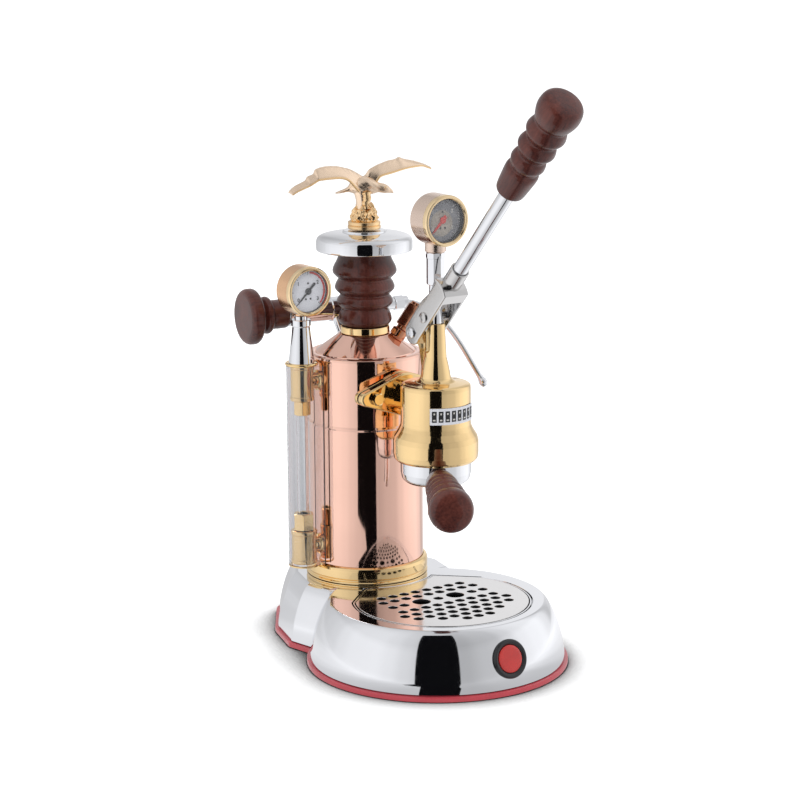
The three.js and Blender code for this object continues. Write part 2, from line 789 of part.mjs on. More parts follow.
// The body from tail to beak, as shares of reach, drop, half width and half height.
const tailShares = [[1, 1, 0.42, 0.12], [0.66, 0.6, 0.5, 0.24], [0.36, 0.2, 0.74, 0.66]];
const headShares = [[0, 0, 1, 1], [0.36, 0, 0.84, 0.8], [0.58, -0.6, 0.5, 0.48],
  [0.78, -1, 0.46, 0.46], [0.94, 0, 0.24, 0.3], [1, 3.4, 0.08, 0.14]];
const bodySections = [
  ...tailShares.map(([reach, drop, half, tall]) =>
    [-reach * bird.tailReach, bodyHeight - drop * bird.tailDrop, half, tall]),
  ...headShares.map(([reach, drop, half, tall]) =>
    [reach * bird.headReach, bodyHeight - drop * bird.headDrop, half, tall]),
];
const bodyRing = ([forward, height, half, tall]) =>
  Array.from({ length: sides.stud }, (_, i) => {
    const [across, up] = polar(bird.bodyGirth, (i / sides.stud) * 2 * Math.PI);
    return [
      forward * Math.sin(bird.heading) - across * half * Math.cos(bird.heading),
      -forward * Math.cos(bird.heading) - across * half * Math.sin(bird.heading),
      height + up * tall,
    ];
  });
const birdBody = loft(bodySections.map(bodyRing).reverse());

// A wing from root to tip: shares of the span, and of the rise at its lower and upper edge.
const leftWingShares = [[0.04, -0.5, 0.2], [0.23, 0.04, 0.54], [0.42, 0.09, 0.64],
  [0.62, 0.03, 0.56], [0.79, -0.26, 0.22], [0.93, -0.44, -0.12], [1, -0.52, -0.36]];
const rightWingShares = [[0.04, -0.5, 0.3], [0.2, 0.09, 0.72], [0.4, 0.33, 0.91],
  [0.5, 0.42, 1], [0.66, 0.53, 0.88], [0.84, 0.61, 0.75], [1, 0.5, 0.57]];

// The lower edge leads and the upper one trails, so each section leans back.
function wing(side, span, shares) {
  const root = bodyHeight + bird.wingRoot;
  const rings = shares.map(([out, low, high]) => {
    const x = side * out * span;
    const [bottom, top] = [root + low * bird.wingRise, root + high * bird.wingRise];
    return [
      [x, -bird.wingDepth, bottom],
      [x, bird.wingThickness - bird.wingDepth, bottom],
      [x, bird.wingDepth + bird.wingThickness, top],
      [x, bird.wingDepth, top],
      [x, -bird.wingThickness, (bottom + top) / 2],
    ];
  });
  return loft(side > 0 ? rings : rings.reverse());
}

// Thighs and legs, one pillar under the body.
const legTaperShares = [[0.84, 0], [0.92, 0.4], [1.1, 0.8], [1.3, 1]];
const legs = revolve([
  [0, moundTop - overrun],
  ...legTaperShares.map(([r, h]) =>
    [r * bird.legGirth, moundTop - overrun + h * (bird.bodyRise + overrun)]),
  [0, bodyHeight],
], sides.stud);
add('eagle_finial', mound.add(legs).add(birdBody)
  .add(wing(1, bird.rightSpan, rightWingShares))
  .add(wing(-1, bird.leftSpan, leftWingShares)), finish.rose);

// Water gauge: two fittings, a glass tube with nuts, and a clear guard

const sight = {
  upperDrop: 2,
  upperHeight: 28.5,
  upperRadius: 9.3,
  lowerRise: 15,
  lowerHeight: 26.4,
  lowerRadius: 10.2,
  armRadius: 6.6,
  bead: 0.8,
  upperNutFlats: 12.4,
  lowerNutFlats: 14.6,
  nutHeight: 11,
  lowerNutHeight: 13,
  tubeRadius: 4.6,
  tubeWall: 1.3,
  nutBore: 4.9,
  guardRadius: 12.1,
  guardWall: 0.9,
  guardReach: 12,
  bore: 2.5,
};
const sightAt = [-sightReach, 0, 0];
const upperTop = shoulderHeight - sight.upperDrop;
const upperBottom = upperTop - sight.upperHeight;
const lowerBottom = deckHeight + sight.lowerRise;
const lowerTop = lowerBottom + sight.lowerHeight;
const boilerSkin = cylinder(boilerRadius + gap, 0, shoulderHeight, 2 * sides.large);

function sightFitting(radius, bottom, top, boreFrom, boreTo) {
  const middle = (bottom + top) / 2;
  const post = revolve([
    [0, bottom],
    [radius - sight.bead, bottom],
    [radius, bottom + sight.bead],
    [radius, top - sight.bead],
    [radius - sight.bead, top],
    [0, top],
  ], sides.small).translate(sightAt);
  const arm = along(cylinder(sight.armRadius, 0, sightReach - boilerRadius, sides.small),
    [1, 0, 0], [-sightReach, 0, middle]);
  return post.add(arm).subtract(boilerSkin)
    .subtract(cylinder(sight.bore, boreFrom, boreTo, sides.tiny).translate(sightAt));
}

const upperMiddle = (upperBottom + upperTop) / 2;
const lowerMiddle = (lowerBottom + lowerTop) / 2;
add('sight_top_fitting', sightFitting(sight.upperRadius, upperBottom, upperTop,
  upperBottom - overrun, upperMiddle), finish.gold);
add('sight_bottom_fitting', sightFitting(sight.lowerRadius, lowerBottom, lowerTop,
  lowerMiddle, lowerTop + overrun), finish.gold);

function sightNut(name, flats, bottom, top) {
  const bore = cylinder(sight.nutBore, bottom - overrun, top + overrun, sides.tube);
  const rounded = revolve([
    [0, bottom],
    [flats * 0.5, bottom],
    [flats * 0.6, bottom + sight.bead],
    [flats * 0.6, top - sight.bead],
    [flats * 0.5, top],
    [0, top],
  ], sides.small);
  add(name, hexagon(flats, bottom, top).intersect(rounded).subtract(bore).translate(sightAt),
    finish.gold);
}

const upperNutTop = upperBottom - gap;
const upperNutBottom = upperNutTop - sight.nutHeight;
const lowerNutBottom = lowerTop + gap;
const lowerNutTop = lowerNutBottom + sight.lowerNutHeight;
sightNut('sight_top_nut', sight.upperNutFlats, upperNutBottom, upperNutTop);
sightNut('sight_bottom_nut', sight.lowerNutFlats, lowerNutBottom, lowerNutTop);
add('sight_glass', ring(sight.tubeRadius - sight.tubeWall, sight.tubeRadius, lowerNutBottom,
  upperNutTop, sides.tube).translate(sightAt), finish.glass);

// The guard is a channel round the column, open towards the boiler.
function guardOutline() {
  const [outer, inner] = [sight.guardRadius, sight.guardRadius - sight.guardWall];
  const [top, bottom] = [90 * degree, 270 * degree];
  return [
    new THREE.Vector2(sight.guardReach, outer),
    ...arc([0, 0], outer, top, bottom, sides.tiny),
    new THREE.Vector2(sight.guardReach, -outer),
    new THREE.Vector2(sight.guardReach, -inner),
    ...arc([0, 0], inner, bottom, top, sides.tiny),
    new THREE.Vector2(sight.guardReach, inner),
  ];
}
add('sight_guard', extrude(guardOutline(), lowerBottom - overrun / 2, upperTop)
  .translate(sightAt), finish.glass);

// Pressure gauges: cup case, dial, pointer and lens, facing the front

const gauge = {
  radius: 19.2,
  wall: 1.3,
  lip: 3.4,
  lipDepth: 1.2,
  lens: 1,
  pointerRoom: 1.7,
  dial: 1,
  pointerThickness: 0.5,
  pointerLength: 13.6,
  pointerTail: 6,
  pointerHalf: 0.9,
  hubRadius: 1.7,
  restAngle: 225 * degree,
};

function addGauge(prefix, [x, faceY, z], depth, boss, dialLook, pointerLook, caseLook) {
  const inner = gauge.radius - gauge.wall;
  const turn = (body) => body.rotate([90, 0, 0]).translate([x, 0, z]);
  const front = -faceY;
  const cup = turn(revolve([
    [gauge.radius - gauge.lip, front],
    [gauge.radius - gauge.wall, front],
    [gauge.radius, front - gauge.wall],
    [gauge.radius, front - depth + gauge.wall],
    [gauge.radius - gauge.wall, front - depth],
    [0, front - depth],
    [0, front - depth + gauge.wall],
    [inner, front - depth + gauge.wall],
    [inner, front - gauge.lipDepth],
    [gauge.radius - gauge.lip, front - gauge.lipDepth],
  ]));
  const bossTop = z - Math.sqrt(inner ** 2 - boss.radius ** 2);
  add(`${prefix}_case`, cup.add(cylinder(boss.radius, boss.bottom, bossTop, sides.small)
    .translate([x, boss.y, 0])), caseLook);
  const lensFront = front - gauge.lipDepth - gap;
  const lensBack = lensFront - gauge.lens;
  const dialFront = lensBack - gauge.pointerRoom;
  add(`${prefix}_lens`, turn(cylinder(inner - gap, lensBack, lensFront)), finish.glass);
  add(`${prefix}_dial`, turn(cylinder(inner - gap, dialFront - gauge.dial, dialFront)), dialLook);
  const [low, high] = [dialFront + gap, dialFront + gap + gauge.pointerThickness];
  const needle = extrude([
    new THREE.Vector2(gauge.pointerLength, 0),
    new THREE.Vector2(0, gauge.pointerHalf),
    new THREE.Vector2(-gauge.pointerTail, gauge.pointerHalf),
    new THREE.Vector2(-gauge.pointerTail, -gauge.pointerHalf),
    new THREE.Vector2(0, -gauge.pointerHalf),
  ], low, high).rotate([0, 0, gauge.restAngle / degree]);
  add(`${prefix}_pointer`, turn(needle.add(cylinder(gauge.hubRadius, low, high + gap,
    sides.stud))), pointerLook);
}

const boilerGauge = {
  rise: 58,
  depth: 20.5,
  face: -15,
  collarRise: 29.5,
  pinRise: 35,
  stemRise: 37.5,
  collarRadius: 7.6,
  coneTopRadius: 6.8,
  coneBottomRadius: 10.2,
  pinRadius: 5,
};
const collarFoot = upperTop + boilerGauge.collarRise;
const pinFoot = upperTop + boilerGauge.pinRise;
const stemTop = upperTop + boilerGauge.stemRise;
add('gauge_stem', revolve([
  [0, upperTop + gap],
  [boilerGauge.coneBottomRadius, upperTop + gap],
  [boilerGauge.coneTopRadius, collarFoot],
  [boilerGauge.collarRadius, collarFoot],
  [boilerGauge.collarRadius, pinFoot],
  [boilerGauge.pinRadius, pinFoot],
  [boilerGauge.pinRadius, stemTop],
  [0, stemTop],
], sides.small).translate(sightAt), finish.chrome);
addGauge('boiler_gauge', [-sightReach, boilerGauge.face, upperTop + boilerGauge.rise],
  boilerGauge.depth,
  { radius: boilerGauge.pinRadius, bottom: stemTop + gap, y: 0 },
  finish.paleDial, finish.black, finish.rose);

// Steam valve: a body behind the filler neck, with a knob on the left and a wand on the right

const valve = {
  radius: 9.7,
  left: -49.5,
  stepAt: 9,
  tailRadius: 5.1,
  right: 45,
  nutFlats: 19.4,
  nutLength: 9,
  bevel: 1.2,
  turn: -7 * degree,
  riserRadius: 3.6,
  riserX: -8,
  bore: 3.4,
  boreDepth: 30,
  spindleRadius: 3,
  outletRadius: 3.6,
  outletLength: 5,
  outletBore: 2,
};
const valveLine = [0, valveSetback, valveHeight];
const valveAxis = [...polar(1, valve.turn), 0];
const onValve = (body) => along(body, valveAxis, valveLine);
const coneSlope = (coneFoot[0] - boiler.coneTopRadius) / (coneTop - coneFoot[1]);
const coneNormal = [1 / hypot(1, coneSlope), coneSlope / hypot(1, coneSlope)];
const coneSkin = revolve([
  [0, 0],
  [boilerRadius + gap, 0],
  [boilerRadius + gap, coneFoot[1] + gap],
  [coneFoot[0] + 2 * gap, coneFoot[1] + gap],
  [boiler.coneTopRadius + 2 * gap, coneTop + gap],
  [0, coneTop + gap],
], sides.large);
const riserTop = [valve.riserX, valveSetback, valveHeight];
const riser = along(cylinder(valve.riserRadius, -valveSetback, 0, sides.tiny),
  [0, ...coneNormal], riserTop).subtract(coneSkin);
const valveBody = onValve(revolve([
  [0, valve.left],
  [valve.radius - valve.bevel, valve.left],
  [valve.radius, valve.left + valve.bevel],
  [valve.radius, valve.stepAt - valve.bevel],
  [valve.radius - valve.bevel, valve.stepAt],
  [valve.tailRadius, valve.stepAt],
  [valve.tailRadius, valve.right],
  [valve.outletRadius, valve.right],
  [valve.outletRadius, valve.right + valve.outletLength],
  [0, valve.right + valve.outletLength],
], sides.small))
  .add(onValve(hexagon(valve.nutFlats, valve.left + valve.bevel, valve.left + valve.nutLength)))
  .add(riser)
  .subtract(onValve(cylinder(valve.bore, valve.left - overrun, valve.left + valve.boreDepth,
    sides.tiny)))
  .subtract(onValve(cylinder(valve.outletBore, valve.right - valve.boreDepth / 2,
    valve.right + valve.outletLength + overrun, sides.tiny)));
add('steam_valve_body', valveBody, finish.chrome);

const steamKnob = {
  shankRadius: 11.3,
  ringRadius: 14.6,
  discRadius: 21.8,
  length: 35,
  boreRadius: 3.3,
  boreDepth: 20,
};
const knobFrom = valve.left - gap;
const knobEnd = knobFrom - steamKnob.length;
const shankShares = [[0.9, 0], [1, 0.03], [1, 0.34], [0.93, 0.37]];
const ringShares = [[0.93, 0.39], [1, 0.46], [0.95, 0.53]];
const discShares = [[0.52, 0.6], [0.58, 0.66], [0.9, 0.7], [1, 0.76], [1, 0.92], [0.9, 0.98]];
const knobPoint = (radius) => ([r, h]) => [r * radius, knobFrom - h * steamKnob.length];
add('steam_knob', onValve(revolve([
  [steamKnob.boreRadius, knobFrom],
  ...shankShares.map(knobPoint(steamKnob.shankRadius)),
  ...ringShares.map(knobPoint(steamKnob.ringRadius)),
  ...discShares.map(knobPoint(steamKnob.discRadius)),
  [0, knobEnd],
  [0, knobFrom - steamKnob.boreDepth],
  [steamKnob.boreRadius, knobFrom - steamKnob.boreDepth],
], sides.medium)), finish.wood);
add('steam_spindle', onValve(cylinder(valve.spindleRadius, knobFrom - steamKnob.boreDepth + gap,
  valve.left + valve.boreDepth - gap, sides.tiny)), finish.steel);

const wand = {
  radius: 2.3,
  nutFlats: 10.6,
  nutLength: 12,
  tipRadius: 3.5,
  tipLength: 7,
  reach: 38.7,
  forward: 48,
  drop: 59.2,
  steps: 14,
};
const outletEnd = valve.right + valve.outletLength;
const nutFrom = valve.right + gap;
const nutTo = nutFrom + wand.nutLength;
add('wand_nut', onValve(hexagon(wand.nutFlats, nutFrom, nutTo - wand.nutLength / 3)
  .add(cylinder(wand.nutFlats / 2, nutFrom, nutTo, sides.small))
  .subtract(cylinder(valve.outletRadius + gap, nutFrom - overrun, outletEnd + gap, sides.small))
  .subtract(cylinder(wand.radius + gap, outletEnd, nutTo + overrun, sides.tiny))), finish.chrome);

const wandStart = [outletEnd + 2 * gap, nutTo].map((reach) =>
  [reach * valveAxis[0], valveSetback + reach * valveAxis[1], valveHeight]);

// The wand's route after the nut, out and down beside the group, as shares of its way.
const wandRouteShares = [[0.171, 0.071, 0.027], [0.339, 0.229, 0.101], [0.484, 0.375, 0.206],
  [0.623, 0.529, 0.351], [0.763, 0.7, 0.561], [0.892, 0.863, 0.797], [1, 1, 1]];
const wandRoute = wandRouteShares.map(([out, forward, down]) => [
  wandStart[1][0] + out * wand.reach,
  wandStart[1][1] - forward * wand.forward,
  wandStart[1][2] - down * wand.drop,
]);
const wandEnd = wandRoute.at(-1);
const wandLast = wandRoute.at(-2);
const wandTube = sweep([...wandStart, ...wandRoute], wand.radius, wand.steps, sides.bar);
const wandTipDirection = wandEnd.map((v, i) => v - wandLast[i]);
const tipShares = [[0, -0.35], [0.65, -0.35], [0.8, 0], [1, 0.3], [1, 0.6], [0.6, 1], [0, 1]];
const wandTip = along(revolve(tipShares.map(([r, h]) => [r * wand.tipRadius, h * wand.tipLength]),
  sides.tiny), wandTipDirection, wandEnd);
add('steam_wand', wandTube.add(wandTip), finish.chrome);

// Safety valve: a hexagonal body square to the cone

const safety = {
  angle: -15 * degree,
  radius: 29.5,
  neckRadius: 4.4,
  neck: 4.5,
  flats: 12.4,
  hexLength: 19,
  capRadius: 5.2,
  cap: 2.4,
};
const safetyHeight = coneFoot[1] + (coneFoot[0] - safety.radius) / coneSlope;
const safetyPoint = [...polar(safety.radius, safety.angle), safetyHeight];
const safetyDirection = [...polar(coneNormal[0], safety.angle), coneNormal[1]];
const safetyHexTop = safety.neck + safety.hexLength;
add('safety_valve', along(cylinder(safety.neckRadius, -overrun, safety.neck + gap, sides.tiny)
  .add(hexagon(safety.flats, safety.neck, safetyHexTop))
  .add(cylinder(safety.capRadius, safetyHexTop - gap, safetyHexTop + safety.cap, sides.tiny)),
safetyDirection, safetyPoint).subtract(coneSkin), finish.rose);

// Group: a bell with a bored neck, slotted for the piston pin, and a lug for the fulcrum

// Heights above the foot of the group's skirt.
const groupRises = {
  lipTop: 3.2,
  gasketTop: 10.6,
  screenTop: 13,
  skirtTop: 16.4,
  flareTop: 27.5,
  boreTop: 54,
  bellTop: 59,
  neckFoot: 70,
  neckWaist: 80,
  slotBottom: 85.4,
  neckTop: 104.3,
};
const level = Object.fromEntries(Object.entries(groupRises)
  .map(([name, rise]) => [name, skirtBottom + rise]));

const group = {
  bellRadius: 26.5,
  skirtRadius: 32.3,
  skirtFoot: 30.5,
  skirtBand: 2,
  bellShoulder: 6.4,
  neckBase: 11.2,
  neckWaistRadius: 8.1,
  neckFootRadius: 8.6,
  neckRadius: 7,
  bore: 21.3,
  screenRadius: 23.6,
  gasketRadius: 29.4,
  lipRadius: 27.6,
  rodBore: 5.4,
  feedBore: 4,
  slotWidth: 6,
};
const pivot = {
  arm: 15.5,
  drop: 8.8,
  pinRise: 14,
  pinRadius: 2.7,
  headRadius: 4.1,
  head: 1.5,
  lugHalf: 5.4,
  lugRadius: 6.4,
  travelUp: 3 * degree,
  travelDown: 72 * degree,
  pistonRate: 18.2,
};
const groupAt = [0, -groupReach, 0];
const fulcrumY = pivot.arm - groupReach;
const fulcrumHeight = level.neckTop - pivot.drop;
const flareSteps = 3;
const flare = Array.from({ length: flareSteps }, (_, i) => {
  const angle = ((i + 1) / flareSteps) * 90 * degree;
  const reach = group.skirtRadius - gap - group.bellRadius;
  const height = level.flareTop - level.skirtTop;
  return [
    group.skirtRadius - gap - reach * Math.sin(angle),
    level.flareTop - height * Math.cos(angle),
  ];
});
const shoulder = Array.from({ length: 3 }, (_, i) => {
  const angle = (i / 2) * 90 * degree;
  return [
    group.bellRadius - group.bellShoulder * (1 - Math.cos(angle)),
    level.bellTop - group.bellShoulder * (1 - Math.sin(angle)),
  ];
});
const bell = revolve([
  [group.lipRadius, skirtBottom],
  [group.skirtFoot, skirtBottom],
  [group.skirtRadius, level.skirtTop - group.skirtBand],
  [group.skirtRadius, level.skirtTop],
  ...flare,
  ...shoulder,
  [group.neckBase, level.bellTop + group.bellShoulder * 0.3],
  [group.neckFootRadius, level.neckFoot],
  [group.neckWaistRadius, level.neckWaist],
  [group.neckRadius, level.neckTop],
  [group.rodBore, level.neckTop],
  [group.rodBore, level.boreTop],
  [group.bore, level.boreTop],
  [group.bore, level.screenTop],
  [group.screenRadius, level.screenTop],
  [group.screenRadius, level.gasketTop],
  [group.gasketRadius, level.gasketTop],
  [group.gasketRadius, level.lipTop],
  [group.lipRadius, level.lipTop],
], sides.large).translate(groupAt);

const boltBack = padBack + overrun;
const feedTube = along(cylinder(flange.padTube, 0, groupReach + flangeBack, sides.medium),
  [0, 1, 0], [0, -groupReach, flangeHeight])
  .subtract(cylinder(group.bore + overrun, 0, shoulderHeight, sides.large).translate(groupAt));
const lug = (() => {
  const backY = fulcrumY - group.neckBase * 0.1;
  const outline = [
    ...arc([fulcrumY, fulcrumHeight], pivot.lugRadius, 150 * degree, -30 * degree, 6),
    new THREE.Vector2(backY, fulcrumHeight - pivot.lugRadius * 1.9),
    new THREE.Vector2(backY - pivot.pinRadius, level.neckFoot),
    new THREE.Vector2(backY - pivot.pinRadius * 0.6, level.bellTop + overrun),
    new THREE.Vector2(fulcrumY + overrun, level.bellTop - group.bellShoulder / 2),
    new THREE.Vector2(-groupReach, level.bellTop - group.bellShoulder / 2),
    new THREE.Vector2(-groupReach, level.neckTop - pivot.lugRadius * 0.8),
  ];
  return extrude(outline, -pivot.lugHalf, pivot.lugHalf).transform([
    0, 1, 0, 0,
    0, 0, 1, 0,
    1, 0, 0, 0,
    0, 0, 0, 1,
  ]);
})();
const alongX = (body, y, z) => along(body, [1, 0, 0], [0, y, z]);
const wide = group.skirtRadius;
const rodClearance = cylinder(group.rodBore, level.boreTop - overrun, level.neckTop + overrun)
  .translate(groupAt);
const slots = box(2 * wide, group.slotWidth, level.neckTop - level.slotBottom + overrun, 0,
  -groupReach, (level.neckTop + level.slotBottom + overrun) / 2)
  .add(alongX(cylinder(group.slotWidth / 2, -wide, wide, sides.tiny), -groupReach,
    level.slotBottom));

// Two notches in the lip let the portafilter ears in, where its handle stands far left.
const bayonet = {
  insertion: -64 * degree,
  earHalfAngle: 17 * degree,
  notchHalfAngle: 21 * degree,
  earPlay: 0.7,
};
const earRadius = group.gasketRadius - bayonet.earPlay;
function sector(outer, halfAngle, facing, bottom, top) {
  return extrude([new THREE.Vector2(0, 0), ...arc([0, 0], outer, facing - halfAngle,
    facing + halfAngle, 4)], bottom, top).translate(groupAt);
}
const notches = wasm.Manifold.union([0, 180].map((turn) => sector(group.gasketRadius,
  bayonet.notchHalfAngle, bayonet.insertion + turn * degree, skirtBottom - overrun,
  level.lipTop + gap)));
const groupBody = bell.add(feedTube).add(flangePlate(flangeFront, flangeBack)).add(lug)
  .subtract(rodClearance)
  .subtract(slots)
  .subtract(notches)
  .subtract(alongX(cylinder(pivot.pinRadius + gap, -wide, wide, sides.tiny), fulcrumY, fulcrumHeight))
  .subtract(alongY(cylinder(group.feedBore, -flangeBack - overrun, groupReach, sides.tiny),
    flangeHeight))
  .subtract(flangeHoles(flange.boltRadius + gap, flangeFront - overrun, flangeBack + overrun));
add('group_body', groupBody, finish.gold);

add('flange_gasket', flangePlate(gasketFront, gasketBack, gap)
  .subtract(feed)
  .subtract(flangeHoles(flange.boltRadius + gap, gasketFront - overrun, gasketBack + overrun)),
finish.rubber);

for (const [side, name] of [[-1, 'flange_bolt_left'], [1, 'flange_bolt_right']]) {
  const headBack = flangeFront - gap;
  const bolt = hexagon(flange.boltFlats, -headBack, -headBack + flange.boltHead)
    .add(cylinder(flange.boltRadius, -boltBack, -headBack + gap, sides.tiny));
  add(name, alongY(bolt, flangeHeight).translate([side * flange.boltOffset, 0, 0])
    .subtract(boilerSkin), finish.gold);
}

const screen = { thickness: 1.5, holeRadius: 1.3, holeRing: 14, holeCount: 6 };
const screenTop = level.screenTop - gap;
const screenHoles = wasm.Manifold.union(Array.from({ length: screen.holeCount }, (_, i) => {
  const [x, y] = polar(screen.holeRing, (i / screen.holeCount) * 2 * Math.PI);
  return cylinder(screen.holeRadius, screenTop - 2 * screen.thickness, screenTop + overrun,
    sides.bar)
    .translate([x, y - groupReach, 0]);
}));
add('shower_screen', cylinder(group.screenRadius - gap, screenTop - screen.thickness, screenTop)
  .translate(groupAt).subtract(screenHoles), finish.steel);

const seal = { inner: 24, height: 2.7 };
const sealTop = level.gasketTop - gap;
const sealBottom = sealTop - seal.height;
add('portafilter_gasket', ring(seal.inner, group.gasketRadius - gap, sealBottom, sealTop,
  sides.large).translate(groupAt), finish.rubber);

const strip = { height: 12.4, rise: 4.7, thickness: 0.7, halfAngle: 44 * degree };
const stripSteps = 8;
const stripFrom = -90 * degree - strip.halfAngle;
const stripTo = -90 * degree + strip.halfAngle;
const stripInner = group.bellRadius + gap;
const stripBottom = level.flareTop + strip.rise;
add('temperature_strip', extrude([
  ...arc([0, 0], stripInner + strip.thickness, stripFrom, stripTo, stripSteps),
  ...arc([0, 0], stripInner, stripTo, stripFrom, stripSteps),
], stripBottom, stripBottom + strip.height).translate(groupAt), finish.satin);

// Piston, with two seals, on a rod that rises out of the slotted neck

const piston = {
  play: 0.6,
  height: 11,
  sealHeight: 2.2,
  sealDepth: 3,
  land: 1.5,
  stemRadius: 3.6,
  stemBore: 3.9,
  rodRadius: 5,
  rodAbovePin: 23.5,
};
const pistonRadius = group.bore - piston.play;
const pinHeight = fulcrumHeight + pivot.pinRise;
const rodTop = pinHeight + piston.rodAbovePin;
const pistonLow = screenTop + gap;
const pistonBottom = pistonLow + pivot.pistonRate * pivot.travelDown;
const pistonTop = pistonBottom + piston.height;
const grooveLevels = [pistonBottom + piston.land, pistonTop - piston.land - piston.sealHeight];
add('piston', revolve([
  [piston.stemBore, pistonBottom],
  [pistonRadius, pistonBottom],
  ...grooveLevels.flatMap((z) => [
    [pistonRadius, z],
    [pistonRadius - piston.sealDepth, z],
    [pistonRadius - piston.sealDepth, z + piston.sealHeight],
    [pistonRadius, z + piston.sealHeight],
  ]),
  [pistonRadius, pistonTop],
  [piston.stemBore, pistonTop],
]).translate(groupAt), finish.steel);
['piston_seal_lower', 'piston_seal_upper'].forEach((name, i) => {
  add(name, ring(pistonRadius - piston.sealDepth + gap, group.bore - gap,
    grooveLevels[i] + gap, grooveLevels[i] + piston.sealHeight - gap, sides.medium)
    .translate(groupAt), finish.rubber);
});
add('piston_rod', revolve([
  [0, pistonBottom],
  [piston.stemRadius, pistonBottom],
  [piston.stemRadius, pistonTop + gap],
  [piston.rodRadius, pistonTop + gap],
  [piston.rodRadius, rodTop],
  [0, rodTop],
], sides.small).translate(groupAt)
  .subtract(alongX(cylinder(pivot.pinRadius + gap, -wide, wide, sides.tiny), -groupReach,
    pinHeight)), finish.chrome);

// Lever: a forked yoke astride the neck, a rod and a turned wooden handle

const lever = {
  half: 11,
  plate: 2.5,
  width: 9,
  yokeFrom: 44.5,
  yokeTo: 55.6,
  skin: 1,
  socketRadius: 7.3,
  socketTo: 71.5,
  axisOffset: 1.6,
  rodRadius: 5.8,
  rodFrom: 58,
  handleFrom: 158.5,
  handleDepth: 60,
};

// Where the piston pin lies in the fork when the lever has turned by an angle.
function pinInFork(turn) {
  const rise = pivot.pinRise + pivot.pistonRate * turn;
  const angle = leverAngle + turn;
  return [
    pivot.arm * Math.cos(angle) + rise * Math.sin(angle),
    -pivot.arm * Math.sin(angle) + rise * Math.cos(angle),
  ];
}
const pinPlaces = Array.from({ length: 16 }, (_, i) =>
  pinInFork(-pivot.travelDown + ((pivot.travelUp + pivot.travelDown) * i) / 15));
const pinRoom = pivot.pinRadius + gap;
const pocket = {
  from: Math.min(...pinPlaces.map(([u]) => u)) - pinRoom,
  to: Math.max(...pinPlaces.map(([u]) => u)) + pinRoom,
  low: Math.min(...pinPlaces.map(([, v]) => v)) - pinRoom,
  high: Math.max(...pinPlaces.map(([, v]) => v)) + pinRoom,
};

// Fork coordinates: U along the lever from the fulcrum, V square to it and up, X across.
function placeOnLever(body) {
  const [c, s] = [Math.cos(leverAngle), Math.sin(leverAngle)];
  return body.transform([
    0, -c, s, 0,
    0, s, c, 0,
    -1, 0, 0, 0,
    0, fulcrumY, fulcrumHeight, 1,
  ]);
}

const forkTop = lever.width + gap;
const forkDip = lever.width * 0.75;
const forkOutline = [
  ...arc([0, 0], lever.width, -75 * degree, -255 * degree, 8),
  new THREE.Vector2(lever.yokeFrom * 0.5, forkTop),
  new THREE.Vector2(lever.yokeFrom * 0.86, forkDip),
  new THREE.Vector2(lever.yokeFrom + gap, forkDip),
  new THREE.Vector2(lever.yokeTo - overrun, lever.width),
  new THREE.Vector2(lever.yokeTo, 0),
  new THREE.Vector2(lever.yokeTo - overrun, -lever.width),
];
const forkSlab = extrude(forkOutline, -lever.half, lever.half);
const insideHalf = lever.half - lever.plate;
const forkWindow = box(lever.yokeFrom + 2 * lever.width, 4 * lever.width, 2 * insideHalf,
  lever.yokeFrom / 2 - lever.width, 0, 0);
const socketAt = [0, lever.axisOffset, 0];
const socket = along(cylinder(lever.socketRadius, lever.yokeTo - 2 * overrun, lever.socketTo,
  sides.small), [1, 0, 0], socketAt);
const socketBore = along(cylinder(lever.rodRadius + gap, lever.rodFrom - gap,
  lever.socketTo + overrun, sides.small), [1, 0, 0], socketAt);
const pinPocket = box(pocket.to - pocket.from, pocket.high - pocket.low,
  2 * (lever.half - lever.skin), (pocket.from + pocket.to) / 2, (pocket.high + pocket.low) / 2, 0);
const fulcrumHole = cylinder(pivot.pinRadius + gap, -wide, wide, sides.tiny);
const [pinU, pinV] = pinInFork(0);
const pinCap = cylinder(pivot.headRadius, lever.half - gap, lever.half + pivot.head, sides.tiny)
  .translate([pinU, pinV, 0]);
const forkBody = forkSlab.subtract(forkWindow).add(socket).subtract(socketBore)
  .subtract(pinPocket).subtract(fulcrumHole).add(pinCap).add(pinCap.mirror([0, 0, 1]));
add('lever_fork', placeOnLever(forkBody), finish.satin);

const pocketReach = lever.half - lever.skin - gap;
add('piston_pin', alongX(cylinder(pivot.pinRadius, -pocketReach, pocketReach, sides.tiny),
  -groupReach, pinHeight), finish.steel);
const headFrom = lever.half + gap;
add('fulcrum_pin', alongX(revolve([
  [0, -headFrom - pivot.head],
  [pivot.headRadius, -headFrom - pivot.head],
  [pivot.headRadius, -headFrom],
  [pivot.pinRadius, -headFrom],
  [pivot.pinRadius, headFrom],
  [pivot.headRadius, headFrom],
  [pivot.headRadius, headFrom + pivot.head],
  [0, headFrom + pivot.head],
], sides.tiny), fulcrumY, fulcrumHeight), finish.chrome);

const onLeverAxis = (body) => placeOnLever(along(body, [1, 0, 0], socketAt));
const rodTo = lever.handleFrom + lever.handleDepth;
add('lever_rod', onLeverAxis(cylinder(lever.rodRadius, lever.rodFrom, rodTo, sides.small)),
  finish.chrome);

// A turned handle: a barrel, three beads and a swollen end, along its axis.
const handle = { length: 98, radius: 18.2, portafilterLength: 91 };
const handleShares = [
  [0.42, 0], [0.6, 0.025], [0.66, 0.09], [0.725, 0.235], [0.62, 0.268],
  [0.735, 0.3], [0.735, 0.36], [0.635, 0.392],
  [0.78, 0.43], [0.78, 0.5], [0.68, 0.54],
  [0.85, 0.59], [0.85, 0.665], [0.745, 0.715],
  [0.9, 0.76], [1, 0.88], [0.94, 0.955], [0.8, 0.99], [0, 1],
];

